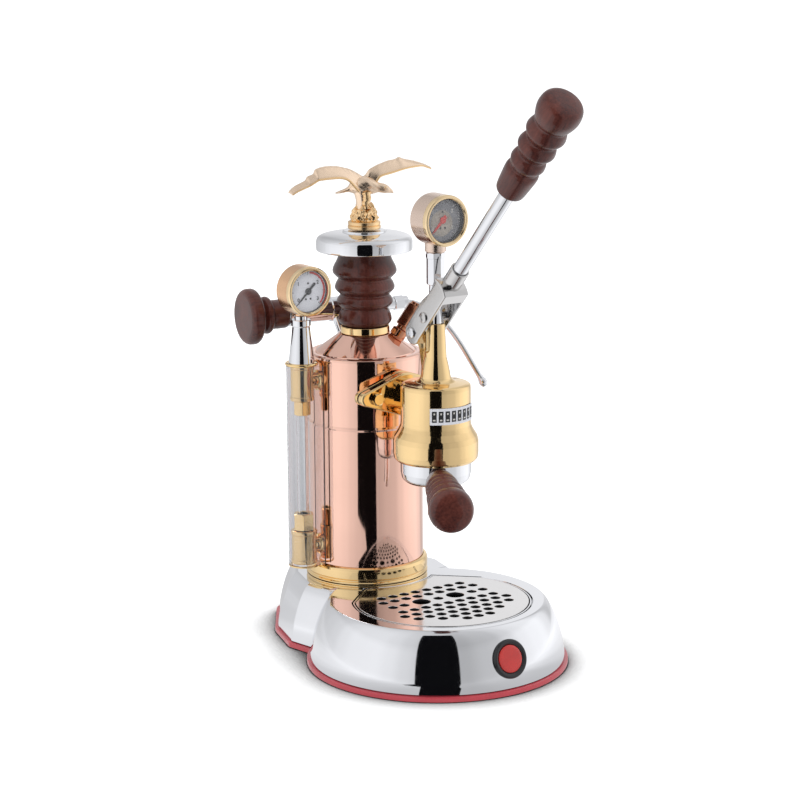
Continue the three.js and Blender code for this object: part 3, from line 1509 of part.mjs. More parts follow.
function turnedHandle(from, length, radius, boreRadius, boreDepth) {
  return revolve([
    [boreRadius, from],
    ...handleShares.map(([r, h]) => [r * radius, from + h * length]),
    [0, from + boreDepth],
    [boreRadius, from + boreDepth],
  ], sides.medium);
}
add('lever_handle', onLeverAxis(turnedHandle(lever.handleFrom, handle.length, handle.radius,
  lever.rodRadius + gap, lever.handleDepth + gap)), finish.wood);

// Gauge on top of the piston rod

const rodGauge = {
  adapterRadius: 6.1,
  adapterLength: 24.7,
  bandRadius: 6.9,
  band: 5,
  stemRadius: 8,
  rise: 24.5,
  depth: 22.6,
  face: 16,
};
const adapterBottom = rodTop + gap;
const adapterTop = adapterBottom + rodGauge.adapterLength;
add('gauge_adapter', cylinder(rodGauge.adapterRadius, adapterBottom, adapterTop, sides.stud)
  .add(cylinder(rodGauge.bandRadius, adapterTop - rodGauge.band, adapterTop, sides.stud))
  .translate(groupAt), finish.chrome);
addGauge('group_gauge', [0, -groupReach - rodGauge.face, adapterTop + rodGauge.rise], rodGauge.depth,
  { radius: rodGauge.stemRadius, bottom: adapterTop + gap, y: -groupReach },
  finish.darkDial, finish.lens, finish.rose);

// Portafilter: a chromed bowl with two ears, a basket, a spout and a turned handle

const bowl = {
  play: 0.9,
  wall: 1.5,
  rise: 6,
  depth: 24.6,
  cornerRise: 6,
  outletBore: 3,
  shankRadius: 5.2,
  shankDepth: 46,
  shankRise: 7.6,
  handleFrom: 30.5,
  spoutRadius: 6.6,
  spoutDrop: 23.4,
  spoutForward: 5,
};
const bowlRadius = group.lipRadius - bowl.play;
const bowlTop = skirtBottom + bowl.rise;
const bowlBottom = bowlTop - bowl.depth;
const earBottom = level.lipTop + gap;
const earTop = bowlTop - gap;
const shankHeight = bowlBottom + bowl.shankRise;
const spoutBottom = bowlBottom - bowl.spoutDrop;
const bowlShell = revolve([
  [bowl.outletBore, bowlBottom],
  [bowlRadius * 0.55, bowlBottom],
  [bowlRadius * 0.84, bowlBottom + bowl.cornerRise * 0.3],
  [bowlRadius * 0.96, bowlBottom + bowl.cornerRise * 0.7],
  [bowlRadius, bowlBottom + bowl.cornerRise * 1.4],
  [bowlRadius, bowlTop],
  [bowlRadius - bowl.wall, bowlTop],
  [bowlRadius - bowl.wall, bowlBottom + bowl.cornerRise * 1.4],
  [bowlRadius * 0.8, bowlBottom + bowl.cornerRise * 0.75],
  [bowl.outletBore, bowlBottom + bowl.cornerRise * 0.5],
], sides.large);
const ears = wasm.Manifold.union([0, 180].map((turn) =>
  extrude([new THREE.Vector2(0, 0), ...arc([0, 0], earRadius,
    turn * degree - bayonet.earHalfAngle, turn * degree + bayonet.earHalfAngle, 4)],
  earBottom, earTop)
    .subtract(cylinder(bowlRadius - bowl.wall / 2, 0, bowlTop, sides.large))));
const shank = along(cylinder(bowl.shankRadius, bowlRadius - bowl.wall / 2,
  bowl.handleFrom + bowl.shankDepth, sides.tiny), [0, -1, 0], [0, 0, shankHeight])
  .subtract(cylinder(bowlRadius - bowl.wall / 2, 0, bowlTop, sides.large));
const atPortafilter = (body) => body
  .rotate([0, 0, portafilterAngle / degree])
  .translate(groupAt);
add('portafilter_bowl', atPortafilter(bowlShell.add(ears).add(shank)), finish.chrome);

const portafilterHandle = along(turnedHandle(bowl.handleFrom, handle.portafilterLength,
  handle.radius * 0.95, bowl.shankRadius + gap, bowl.shankDepth + gap), [0, -1, 0],
[0, 0, shankHeight]);
add('portafilter_handle', atPortafilter(portafilterHandle), finish.wood);

const spoutTop = bowlBottom - gap;
const spoutPath = [
  [0, 0, spoutTop],
  [0, 0, (spoutTop + spoutBottom) / 2],
  [0, -bowl.spoutForward / 2, spoutBottom + overrun],
  [0, -bowl.spoutForward, spoutBottom],
];
add('portafilter_spout', atPortafilter(sweep(spoutPath, bowl.spoutRadius, 5, sides.tiny)
  .subtract(sweep([
    [0, 0, spoutTop + overrun],
    ...spoutPath.slice(0, 3),
    [0, -bowl.spoutForward * 1.4, spoutBottom - overrun],
  ], bowl.outletBore, 6, sides.stud))), finish.chrome);

const basket = {
  play: 0.8,
  wall: 0.8,
  flangeInset: 0.1,
  flange: 1,
  rise: 6.6,
  holeRadius: 1.4,
  holeRing: 12,
  holeCount: 6,
};
const basketRadius = bowlRadius - bowl.wall - basket.play;
const basketFlange = bowlRadius - basket.flangeInset;
const basketBottom = bowlBottom + basket.rise;
const basketTop = bowlTop + gap + basket.flange;
const basketHoles = wasm.Manifold.union(Array.from({ length: basket.holeCount }, (_, i) => {
  const [x, y] = polar(basket.holeRing, (i / basket.holeCount) * 2 * Math.PI);
  return cylinder(basket.holeRadius, basketBottom - overrun, basketBottom + overrun, sides.bar)
    .translate([x, y, 0]);
}));
add('filter_basket', atPortafilter(revolve([
  [0, basketBottom],
  [basketRadius * 0.9, basketBottom],
  [basketRadius, basketBottom + 3 * basket.wall],
  [basketRadius, bowlTop + gap],
  [basketFlange, bowlTop + gap],
  [basketFlange, basketTop],
  [basketRadius - basket.wall, basketTop],
  [basketRadius - basket.wall, basketBottom + 3 * basket.wall],
  [basketRadius * 0.88, basketBottom + basket.wall],
  [0, basketBottom + basket.wall],
]).subtract(basketHoles)), finish.steel);

export default machine;
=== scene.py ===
"""Looks of a lever espresso machine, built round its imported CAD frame. Shape tables are in mm."""

import json
from math import acos, atan2, copysign, cos, pi, sin, sqrt, tan

import bmesh
import bpy
from mathutils import Matrix, Vector, noise
from mathutils.geometry import tessellate_polygon


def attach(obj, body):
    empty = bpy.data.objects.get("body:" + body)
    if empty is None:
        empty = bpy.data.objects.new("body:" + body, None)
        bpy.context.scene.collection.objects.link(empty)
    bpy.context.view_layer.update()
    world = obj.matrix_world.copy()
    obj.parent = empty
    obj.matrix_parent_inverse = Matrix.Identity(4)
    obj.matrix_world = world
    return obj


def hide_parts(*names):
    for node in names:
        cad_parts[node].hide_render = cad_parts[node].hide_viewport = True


MM = 0.001
DEG = pi / 180
FULL = 2 * pi
FRONT = Vector((0, -1, 0))
UP = Vector((0, 0, 1))
SIDEWAYS = Matrix(((0, 0, 1, 0), (1, 0, 0, 0), (0, 1, 0, 0), (0, 0, 0, 1)))

# The foot of the group's axis, and the middle of the boiler's flange
GROUP = (0, -96.5, 0)
FLANGE = (0, 0, 201)

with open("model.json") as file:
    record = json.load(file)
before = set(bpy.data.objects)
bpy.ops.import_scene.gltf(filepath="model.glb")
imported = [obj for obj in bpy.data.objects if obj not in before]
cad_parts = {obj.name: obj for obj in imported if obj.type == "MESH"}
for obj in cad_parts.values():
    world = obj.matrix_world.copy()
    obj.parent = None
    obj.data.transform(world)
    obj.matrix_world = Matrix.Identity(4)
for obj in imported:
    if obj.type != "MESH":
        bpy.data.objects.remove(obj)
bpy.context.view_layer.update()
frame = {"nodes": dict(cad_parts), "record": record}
BODY_OF = {node: body for body, nodes in frame["record"]["behaviour"]["bodies"].items() for node in nodes}
scene = bpy.context.scene


# Materials

def fill(tree, node, inputs):
    """Links or sets a node's inputs, by name or number."""
    for key, value in inputs.items():
        if isinstance(value, bpy.types.NodeSocket):
            tree.links.new(value, node.inputs[key])
        else:
            node.inputs[key].default_value = value


def add_node(tree, kind, inputs=None, **settings):
    """Adds a shader node and gives its outputs."""
    node = tree.nodes.new("ShaderNode" + kind)
    for key, value in settings.items():
        setattr(node, key, value)
    fill(tree, node, inputs or {})
    return node.outputs


def add_ramp(tree, source, stops):
    node = tree.nodes.new("ShaderNodeValToRGB")
    fill(tree, node, {"Fac": source})
    elements = node.color_ramp.elements
    while len(elements) < len(stops):
        elements.new(0.5)
    for element, (position, colour) in zip(elements, stops):
        element.position = position
        element.color = (*colour, 1)
    return node.outputs["Color"]


class Look:
    """A principled material with a short way to add nodes."""

    def __init__(self, name, slot, **values):
        self.slot = slot
        self.data = bpy.data.materials.new(name)
        self.data.use_nodes = True
        self.tree = self.data.node_tree
        for key, value in values.items():
            self.set(key.replace("_", " "), value)
        self.place = add_node(self.tree, "TexCoord")["Object"]

    def set(self, key, value):
        fill(self.tree, self.tree.nodes["Principled BSDF"], {key: value})

    def cloud(self, scale, detail, rough=0.5, source=None):
        return add_node(self.tree, "TexNoise", {"Vector": source or self.place, "Scale": scale,
            "Detail": detail, "Roughness": rough})["Fac"]

    def stretched(self, scale):
        return add_node(self.tree, "Mapping", {"Vector": self.place, "Scale": scale})["Vector"]

    def spread(self, source, low, high, start=0.3, end=0.7):
        return add_node(self.tree, "MapRange", {"Value": source, "From Min": start, "From Max": end,
            "To Min": low, "To Max": high})["Result"]

    def bump(self, source, height):
        self.set("Normal", add_node(self.tree, "Bump", {"Height": source, "Distance": height})["Normal"])

    def stain(self, source, colour, share, start=0.3, end=0.7):
        """A base colour that is darker by a share where the source is low."""
        dark = [channel * (1 - share) for channel in colour]
        self.set("Base Color", add_ramp(self.tree, source, [(start, dark), (end, colour)]))


def metal(name, slot, colour, rough, spread, ripple, stain):
    """Polished metal: faint clouding of colour and gloss, and a slow ripple."""
    look = Look(name, slot, Metallic=1)
    look.stain(look.cloud(38, 4), colour, stain)
    look.set("Roughness", look.spread(look.cloud(240, 5, 0.6), rough - spread / 2, rough + spread))
    if ripple:
        look.bump(look.cloud(60, 2), ripple)
    return look


def wood(name):
    look = Look(name, "wood", Coat_Weight=0.5, Coat_Roughness=0.12, Specular_IOR_Level=0.25)
    warp = look.cloud(60, 3, 0.5, look.stretched((1, 1, 0.09)))
    fibre = look.cloud(520, 6, 0.65, look.stretched((1, 1, 0.05)))
    mixed = add_node(look.tree, "Math", {0: warp, 1: fibre}, operation="ADD")[0]
    look.set("Base Color", add_ramp(look.tree, look.spread(mixed, 0, 1, 0.75, 1.25),
        [(0, (0.045, 0.01, 0.008)), (0.45, (0.082, 0.018, 0.012)), (1, (0.125, 0.03, 0.02))]))
    look.set("Roughness", look.spread(fibre, 0.3, 0.42))
    look.bump(fibre, 0.00006)
    return look


def coated(name, slot, colour, rough, stain=0.15, coat=0):
    """Paint, plastic or rubber with a fine grit."""
    look = Look(name, slot, Coat_Weight=coat, Coat_Roughness=0.12)
    look.stain(look.cloud(70, 4), colour, stain)
    fine = look.cloud(1500, 3)
    look.set("Roughness", look.spread(fine, rough * 0.85, rough * 1.15))
    look.bump(fine, 0.00003)
    return look


def clear(name, colour, rough, through=1, alpha=1):
    look = Look(name, "glass", Transmission_Weight=through, Alpha=alpha, IOR=1.45)
    look.set("Base Color", (*colour, 1))
    look.set("Roughness", look.spread(look.cloud(90, 3), rough * 0.5, rough * 1.5))
    return look


def hazy(name, colour):
    """Clear plastic with a pale haze in upright streaks."""
    look = Look(name, "glass", Transmission_Weight=0.95, IOR=1.3, Roughness=0)
    look.stain(look.cloud(260, 3, 0.6, look.stretched((1, 1, 0.01))), colour, 0.08, 0.35, 0.6)
    return look


CHROME = metal("chrome_plate", "chrome", (0.84, 0.85, 0.87), 0.045, 0.02, 0.00001, 0.02)
SATIN = metal("satin_nickel", "satin_steel", (0.66, 0.65, 0.64), 0.15, 0.03, 0.00001, 0.03)
PLATE = metal("polished_grille", "satin_steel", (0.8, 0.79, 0.78), 0.1, 0.04, 0.00001, 0.04)
STEEL = metal("plain_steel", "steel", (0.45, 0.45, 0.46), 0.3, 0.1, 0, 0.1)
COPPER = metal("polished_copper", "copper", (0.95, 0.6, 0.48), 0.05, 0.03, 0.00002, 0.03)
ROSE = metal("rose_copper", "rose_copper", (0.9, 0.56, 0.33), 0.2, 0.06, 0, 0.06)
CASE = metal("pale_rose_gilt", "rose_copper", (0.84, 0.67, 0.56), 0.24, 0.06, 0, 0.06)
BROWN = metal("dark_copper", "rose_copper", (0.58, 0.26, 0.15), 0.12, 0.04, 0.00002, 0.15)
FINIAL = metal("cast_rose_gold", "rose_copper", (1, 0.78, 0.58), 0.27, 0.08, 0.00004, 0.06)
MOUND = metal("cast_gold", "gold_brass", (1, 0.7, 0.38), 0.2, 0.06, 0.00004, 0.15)
RIM = metal("gilt_rim", "gold_brass", (0.96, 0.74, 0.45), 0.12, 0.04, 0.00001, 0.05)
GOLD = metal("polished_brass", "gold_brass", (0.95, 0.69, 0.35), 0.07, 0.03, 0.00001, 0.05)
WOOD = wood("turned_rosewood")
RED = coated("red_enamel", "red_paint", (0.58, 0.06, 0.08), 0.3, 0.1, 0.3)
LENS_RED = coated("red_lens", "red_lens", (0.55, 0.025, 0.02), 0.12, 0.2, 0.6)
BLACK = coated("black_plastic", "black_plastic", (0.018, 0.018, 0.02), 0.35)
RUBBER = coated("rubber", "rubber", (0.02, 0.02, 0.02), 0.7)
DIAL_PALE = coated("dial_pale", "dial_pale", (0.72, 0.72, 0.76), 0.4, 0.06)
DIAL_DARK = coated("dial_dark", "dial_dark", (0.27, 0.27, 0.29), 0.4, 0.25)
DIAL_BEIGE = coated("dial_beige", "dial_pale", (0.42, 0.37, 0.31), 0.45, 0.35)
INK = coated("dial_ink", "needle_black", (0.02, 0.02, 0.022), 0.5)
INK_PALE = coated("dial_pale_ink", "dial_pale", (0.62, 0.6, 0.56), 0.5)
INK_RED = coated("needle_red", "needle_red", (0.62, 0.04, 0.03), 0.35)
GLASS = clear("gauge_glass", (0.97, 0.98, 0.98), 0.01)
LENS = clear("gauge_lens", (0.9, 0.9, 0.92), 0.02, 0, 0.06)
GUARD = hazy("clear_guard", (0.97, 0.97, 0.985))
# Opaque dark brown for the clear guard's edges: a painted reflection of the darker brass behind them
GUARD_EDGE_REFLECTION = coated("guard_edge_painted_reflection", "glass", (0.22, 0.12, 0.09), 0.2, 0.3)


# Mesh tools

def spoke(angle, reach=1):
    return Vector((cos(angle), sin(angle), 0)) * reach


def at(point):
    """The matrix that moves by a vector in mm."""
    return Matrix.Translation(Vector(point) * MM)


def add_object(name, data, matrix=None):
    obj = bpy.data.objects.new(name, data)
    scene.collection.objects.link(obj)
    if matrix is not None:
        obj.matrix_world = matrix
    return obj


def make(name, points, faces, matrix=None, sharp=32):
    """A closed mesh of points in mm; edges above the sharp angle in degrees aren't smoothed."""
    mesh = bpy.data.meshes.new(name)
    mesh.from_pydata([[c * MM for c in p] for p in points], [], faces)
    work = bmesh.new()
    work.from_mesh(mesh)
    bmesh.ops.remove_doubles(work, verts=work.verts, dist=1e-7)
    bmesh.ops.recalc_face_normals(work, faces=work.faces)
    work.to_mesh(mesh)
    work.free()
    obj = add_object(name, mesh, matrix)
    obj["sharp"] = float(sharp)
    return obj


def shade(obj):
    mesh = obj.data
    mesh.polygons.foreach_set("use_smooth", [True] * len(mesh.polygons))
    mesh.set_sharp_from_angle(angle=obj.get("sharp", 32) * DEG)
    obj.modifiers.new("normals", "WEIGHTED_NORMAL").keep_sharp = True


def on_axis(origin, direction):
    """The matrix that takes Z onto a direction through a point in mm."""
    return at(origin) @ UP.rotation_difference(Vector(direction)).to_matrix().to_4x4()


def fillet(points, steps=5):
    """Rounds the corners of a closed 2D line; a point's third number is its radius."""
    out = []
    count = len(points)
    for i, point in enumerate(points):
        corner = Vector(point[:2])
        radius = point[2] if len(point) > 2 else 0
        if not radius:
            out.append(corner)
            continue
        a = Vector(points[i - 1][:2]) - corner
        b = Vector(points[(i + 1) % count][:2]) - corner
        half = a.angle(b) / 2
        if half > 89.5 * DEG:
            out.append(corner)
            continue
        reach = min(radius / tan(half), a.length * 0.49, b.length * 0.49)
        radius = reach * tan(half)
        a.normalize()
        b.normalize()
        centre = corner + (a + b).normalized() * (radius / sin(half))
        start = corner + a * reach - centre
        end = corner + b * reach - centre
        out += [centre + start.lerp(end, k / steps).normalized() * radius for k in range(steps + 1)]
    return out


def spline(points, steps=6):
    """A Catmull-Rom curve through points of any dimension."""
    points = [Vector(p) for p in points]
    last = len(points) - 1
    out = []
    for i in range(last):
        a, b, c, d = (points[min(max(i + k, 0), last)] for k in (-1, 0, 1, 2))
        for k in range(steps):
            t = k / steps
            out.append(0.5 * (2 * b + (c - a) * t + (2 * a - 5 * b + 4 * c - d) * t * t
                + (3 * b - a - 3 * c + d) * t ** 3))
    return [*out, points[-1]]


def lathe(name, profile, origin=(0, 0, 0), axis=UP, count=96, sharp=32):
    """A closed profile of (radius, height) turned about an axis; a third number rounds a corner."""
    if any(len(point) > 2 for point in profile):
        profile = fillet(profile)
    points, faces, rings = [], [], []
    for r, h in profile:
        if r < 1e-6:
            rings.append([len(points)])
            points.append((0, 0, h))
        else:
            rings.append(list(range(len(points), len(points) + count)))
            points += [(x, y, h) for x, y in circle(r, count=count)]
    for a, b in zip(rings, rings[1:] + rings[:1]):
        if len(a) == 1 and len(b) == 1:
            continue
        for k in range(count):
            j = (k + 1) % count
            quad = [a[k % len(a)], a[j % len(a)], b[j % len(b)], b[k % len(b)]]
            faces.append(list(dict.fromkeys(quad)))
    return make(name, points, faces, on_axis(origin, axis), sharp)


def strips(rows, count):
    """The faces between closed rows of points."""
    starts = [(i * count, (i + 1) * count) for i in range(rows - 1)]
    return [[a + k, a + (k + 1) % count, b + (k + 1) % count, b + k] for a, b in starts for k in range(count)]


def loft(name, rings, matrix=None, sharp=32):
    """A solid through closed rings of points."""
    count = len(rings[0])
    points = [p for ring in rings for p in ring]
    ends = [list(range(count)), list(range(len(points) - count, len(points)))]
    return make(name, points, strips(len(rings), count) + ends, matrix, sharp)


def tube(name, path, radius, count=20):
    """A round bar along a line of points."""
    path = [Vector(p) for p in path]
    rings = []
    side = None
    for i, p in enumerate(path):
        ahead = (path[min(i + 1, len(path) - 1)] - path[max(i - 1, 0)]).normalized()
        side = side or ahead.orthogonal()
        side = (side - ahead * side.dot(ahead)).normalized()
        other = ahead.cross(side)
        size = radius(i / (len(path) - 1)) if callable(radius) else radius
        rings.append([p + (side * x + other * y) * size for x, y in circle(1, count=count)])
    return loft(name, rings, sharp=50)


def offset(outline, amount):
    """A closed outline moved to its left by an amount."""
    out = []
    count = len(outline)
    for i, p in enumerate(outline):
        a = (p - outline[i - 1]).normalized()
        b = (outline[(i + 1) % count] - p).normalized()
        normal = Vector((-a.y - b.y, a.x + b.x))
        if normal.length < 1e-6:
            out.append(p)
            continue
        normal.normalize()
        out.append(p + normal * (amount / max(0.4, normal.dot(Vector((-a.y, a.x))))))
    return out


def turned(outline, anticlockwise):
    """The outline in the wanted sense."""
    area = sum(a.x * b.y - b.x * a.y for a, b in zip(outline, outline[1:] + outline[:1]))
    return outline if (area > 0) == anticlockwise else outline[::-1]


def slab(name, outlines, low, high, edge=0.4, matrix=None, steps=3, foot=None):
    """A plate with holes and rounded edges; the first outline is the outer one."""
    outlines = [turned([Vector(p[:2]) for p in line], i == 0) for i, line in enumerate(outlines)]
    points, faces = [], []
    turns = [k / steps * 90 * DEG for k in range(steps + 1)]
    foot = edge if foot is None else foot
    levels = [(foot * (1 - sin(t)), low + foot * (1 - cos(t))) for t in turns]
    levels += [(edge * (1 - cos(t)), high - edge * (1 - sin(t))) for t in turns]
    caps = [[], []]
    for line in outlines:
        count = len(line)
        first = len(points)
        for inset, z in levels:
            ring = offset(line, inset) if inset else line
            points += [(p.x, p.y, z) for p in ring]
        faces += [[first + i for i in face] for face in strips(len(levels), count)]
        caps[0].append(list(range(first, first + count)))
        top = first + (len(levels) - 1) * count
        caps[1].append(list(range(top, top + count)))
    for cap in caps:
        flat = [i for line in cap for i in line]
        lines = [[Vector((points[i][0], points[i][1], 0)) for i in line] for line in cap]
        faces += [[flat[i] for i in triangle] for triangle in tessellate_polygon(lines)]
    return make(name, points, faces, matrix)


def circle(radius, centre=(0, 0), count=48):
    return [(centre[0] + radius * cos(FULL * k / count), centre[1] + radius * sin(FULL * k / count))
        for k in range(count)]


def arc(centre, radius, start, end, steps):
    angles = [start + (end - start) * k / steps for k in range(steps + 1)]
    return [Vector((centre[0] + radius * cos(a), centre[1] + radius * sin(a))) for a in angles]


def evaluated(obj):
    """A new mesh of an object with its modifiers applied."""
    bpy.context.view_layer.update()
    return bpy.data.meshes.new_from_object(obj.evaluated_get(bpy.context.evaluated_depsgraph_get()))


def combine(target, other, operation="DIFFERENCE"):
    """A boolean of two closed meshes; the second one is used up."""
    step = target.modifiers.new("combine", "BOOLEAN")
    step.object = other
    step.operation = operation
    step.solver = "EXACT"
    mesh = evaluated(target)
    target.modifiers.clear()
    target.data = mesh
    bpy.data.objects.remove(other)
    return target


def join(target, *others):
    """One object of several; each mesh goes into the first one's coordinates."""
    work = bmesh.new()
    work.from_mesh(target.data)
    bpy.context.view_layer.update()
    for other in others:
        mesh = other.data.copy()
        mesh.transform(target.matrix_world.inverted() @ other.matrix_world)
        work.from_mesh(mesh)
        bpy.data.objects.remove(other)
    work.to_mesh(target.data)
    work.free()
    return target


def wear(obj, look):
    obj.data.materials.clear()
    obj.data.materials.append(look.data)


def piece(obj, look, *nodes, like=None):
    """Finishes a piece: it rides on its nodes' body and stands for them."""
    shade(obj)
    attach(obj, BODY_OF[nodes[0] if nodes else like])
    wear(obj, look)
    if nodes:
        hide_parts(*nodes)
    return obj


def keep(look, *nodes):
    """Gives nodes that stay as they are a look."""
    for node in nodes:
        wear(frame["nodes"][node], look)


# Base

DRUM = (0, -98, 0)
TRAY_Y = -104.5
DECK = 49
DOME_FOOT = 4.3
FRONT_RADIUS = 100
SHELL_INSET = 2.4
DOME_INSET = 16.5
LOBE = [(70, -50, 1), (78.5, -8, 9), (67, 32, 24), (34, 84, 20)]


def dome_inset(share):
    return DOME_INSET * (1 - (1 - share ** 1.5) ** (1 / 1.5))


def dome_levels(top, steps):
    """Rows of (inset, height) up the dome."""
    heights = [DOME_FOOT + sin(i / steps * 90 * DEG) * (top - DOME_FOOT) for i in range(steps + 1)]
    return [(SHELL_INSET + dome_inset(min(1, (z - DOME_FOOT) / (DECK - DOME_FOOT))), z) for z in heights]


def lobe_outline(inset, steps=14):
    """The rear lobe's outline, moved inward, with a fillet at each corner."""
    corners = LOBE + [(-x, y, r) for x, y, r in reversed(LOBE)]
    count = len(corners)
    lines = []
    for i, (x, y, _) in enumerate(corners):
        a, b = Vector((x, y)), Vector(corners[(i + 1) % count][:2])
        ahead = (b - a).normalized()
        normal = Vector((-ahead.y, ahead.x))
        lines.append((normal, normal.dot(a) + inset))
    out = []
    for i, (_, _, rounding) in enumerate(corners):
        (na, ka), (nb, kb) = lines[i - 1], lines[i]
        radius = max(rounding - inset, 0.3)
        det = na.x * nb.y - na.y * nb.x
        ka, kb = ka + radius, kb + radius
        centre = ((ka * nb.y - kb * na.y) / det, (na.x * kb - nb.x * ka) / det)
        start = atan2(-na.y, -na.x)
        end = atan2(-nb.y, -nb.x)
        out += arc(centre, radius, start, end + (FULL if end < start else 0), steps)
    return out


def domed(name, extra, top, steps=34, foot=0.5):
    """The drum and the rear lobe in one, moved inward by an extra inset."""
    rows = [(inset + extra, z) for inset, z in dome_levels(top, steps)]
    first = rows[0][0]
    rows[:1] = [(first + foot, DOME_FOOT), (first, DOME_FOOT + foot)]
    profile = [(0, DOME_FOOT), *[(FRONT_RADIUS - inset, z) for inset, z in rows], (0, top)]
    drum = lathe(name, profile, DRUM, count=224)
    return combine(drum, upright(name + "_rear", lobe_outline, rows), "UNION")


def tray_outline(inset, steps=88, back_steps=30):
    radius, back = 66 - inset, 57 + inset
    half = 32.2 * DEG - inset / back
    front = arc((0, TRAY_Y), radius, 151.3 * DEG, 388.7 * DEG, steps)
    rear = arc((0, 0), back, -90 * DEG + half, -90 * DEG - half, back_steps)
    return [*front, *rear]


def upright(name, outline_at, levels):
    """A solid of (inset, height) levels of an outline."""
    return loft(name, [[(p.x, p.y, z) for p in outline_at(inset)] for inset, z in levels])


def make_base():
    rim = 0.8
    plan = [(rim, 0), (rim * 0.3, rim * 0.3), (0, rim), (0, 4 - rim), (rim * 0.3, 4 - rim * 0.3), (rim, 4)]
    drum = lathe("base_cover", [(0, 0), *[(FRONT_RADIUS - i, z) for i, z in plan], (0, 4)], DRUM, count=224)
    piece(combine(drum, upright("cover_rear", lobe_outline, plan), "UNION"), RED, "bottom_cover")

    shell = domed("base_shell_skin", 0, DECK)
    inner = domed("base_inner", 1.5, DECK - 1.5, 10)
    combine(shell, inner)
    wall = upright("well_wall", tray_outline, [(-4.2, 42.5), (-4.2, 47.9)])
    combine(shell, wall, "UNION")
    combine(shell, upright("well", tray_outline, [(-2.9, 44), (-2.9, 48.2), (-3.2, 48.8), (-3.6, 51)]))
    combine(shell, upright("well_bottom", tray_outline, [(5, 38), (5, 45)]))
    combine(shell, lathe("spigot_hole", [(0, 45), (35, 45), (35, 51), (0, 51)]))
    for origin, axis, radius in (SWITCH, GLAND):
        combine(shell, lathe("hole", [(0, -15), (radius, -15), (radius, 3), (0, 3)], origin, axis))
    piece(shell, CHROME, "base_shell")

    origin, axis, _ = SWITCH
    bezel = [(10.6, 0.4, 0.3), (12, 1.7, 0.8), (13.6, 1.9, 0.8), (14.6, 0.5, 0.5), (14.6, -1.5), (12, -1.5),
        (12, -15), (0, -15), (0, -13.4), (10.6, -13.4)]
    piece(lathe("switch_ring", bezel, origin, axis), BLACK, "switch_bezel")
    cap = [(0, -5.6), (10.3, -5.6), (10.3, 0.8, 0.5), (8.6, 1.15, 2), (0, 1.4)]
    piece(lathe("switch_cap", cap, origin, axis), LENS_RED, "switch_button")
    origin, axis, _ = GLAND
    ring = [(4.4, 2.5, 0.6), (6.4, 2.5, 0.6), (9, 1.4, 0.6), (9, -0.6), (6.5, -0.6), (6.5, -9), (4.4, -9)]
    piece(lathe("cable_bush", ring, origin, axis), RUBBER, "cable_gland")

    bowl = upright("tray_bowl_body", tray_outline, [(6.6, 20), (5.9, 20.5), (5.7, 21.5), (5.7, 44.3),
        (-1.5, 44.3), (-1.8, 44.6), (-1.8, 48.3), (-1.6, 48.6), (-1.2, 48.6), (-1, 48.3), (-1, 46), (7.3, 46),
        (7.3, 22.6), (7.9, 21.8), (8.6, 21.6)])
    piece(bowl, BLACK, "drip_tray")
    piece(slab("tray_rim", [tray_outline(-2), tray_outline(-0.9)], 48.2, 48.9, 0.2), CHROME, like="drip_tray")

    holes = []
    for y, count in ((28.5, 8), (18.3, 9), (5, 9), (-8.7, 9), (-18.8, 10), (-29, 9), (-38.4, 6), (-47.8, 3)):
        for i in range(count):
            x = (i - (count - 1) / 2) * 10.4
            if y != 5 or abs(abs(x) - 15.6) > 7:
                holes.append(circle(3.8, (x, TRAY_Y + y), 28))
    holes += [circle(7, (side * 15.6, TRAY_Y + 5), 40) for side in (-1, 1)]
    plate = slab("grille_plate", [tray_outline(0), *holes], 48.6, 49.2, 0.25)
    skirt = slab("skirt", [tray_outline(0.02), tray_outline(1.8)], 46.3, 48.7, 0.1)
    piece(join(plate, skirt), PLATE, "drip_grille")
    liner = slab("grille_liner", [tray_outline(2.1), *holes], 47.2, 48.5, 0.05, steps=1)
    piece(liner, BLACK, like="drip_grille")


SWITCH = ((0, -191.63, 26), (0, -0.9585, 0.2851), 12.3)
GLAND = ((0, 78.46, 20), (0, 0.9727, 0.2321), 6.8)


# Boiler and filler cap

def make_boiler():
    tank = [(34, 36), (34, 49.3), (44.7, 49.3, 1), (44.7, 170.4, 1), (45.3, 172, 0.7), (44.7, 173.6, 1),
        (44.7, 224, 1), (44.2, 225.8, 1), (42.6, 226.5, 1), (40.2, 226.6, 0.3), (39.1, 225.7, 0.3),
        (38.5, 227, 0.6), (20.3, 240.2, 0.4), (15, 240.2), (15, 246.3), (12, 246.3), (12, 238.6),
        (18.7, 238.6), (37.5, 223.4), (43.1, 222.4), (43.1, 50.9), (31, 50.9), (31, 36)]
    piece(lathe("boiler_body", tank, count=160, sharp=40), COPPER, "boiler_tank")
    pad_tube = lathe("pad_tube", [(12.9, -43), (13.4, -44.4), (13, -45), (13, -50.6), (0, -50.6), (0, -43)],
        FLANGE, (0, 1, 0))
    pad = slab("boiler_pad", [flange_outline(0)], 47.3, 50.9, 0.5, on_axis(FLANGE, FRONT))
    piece(join(pad, pad_tube), GOLD, like="boiler_tank")
    foot = [(45, 49.3), (48, 49.3, 0.4), (48.1, 50.2, 0.5), (46.8, 51.4, 0.6), (46.8, 52.2, 0.6),
        (48.1, 53.4, 0.7), (48.1, 59.4, 0.8), (47.2, 61.4, 1.4), (45.4, 62.2, 0.4), (45, 62.2)]
    piece(lathe("foot_ring", foot, count=160), GOLD, "boiler_foot_ring")
    collar = [(15.3, 240.5), (19.1, 240.5, 0.7), (19.1, 246.3, 0.7), (15.3, 246.3)]
    piece(lathe("neck_collar", collar, count=96), GOLD, "boiler_collar")


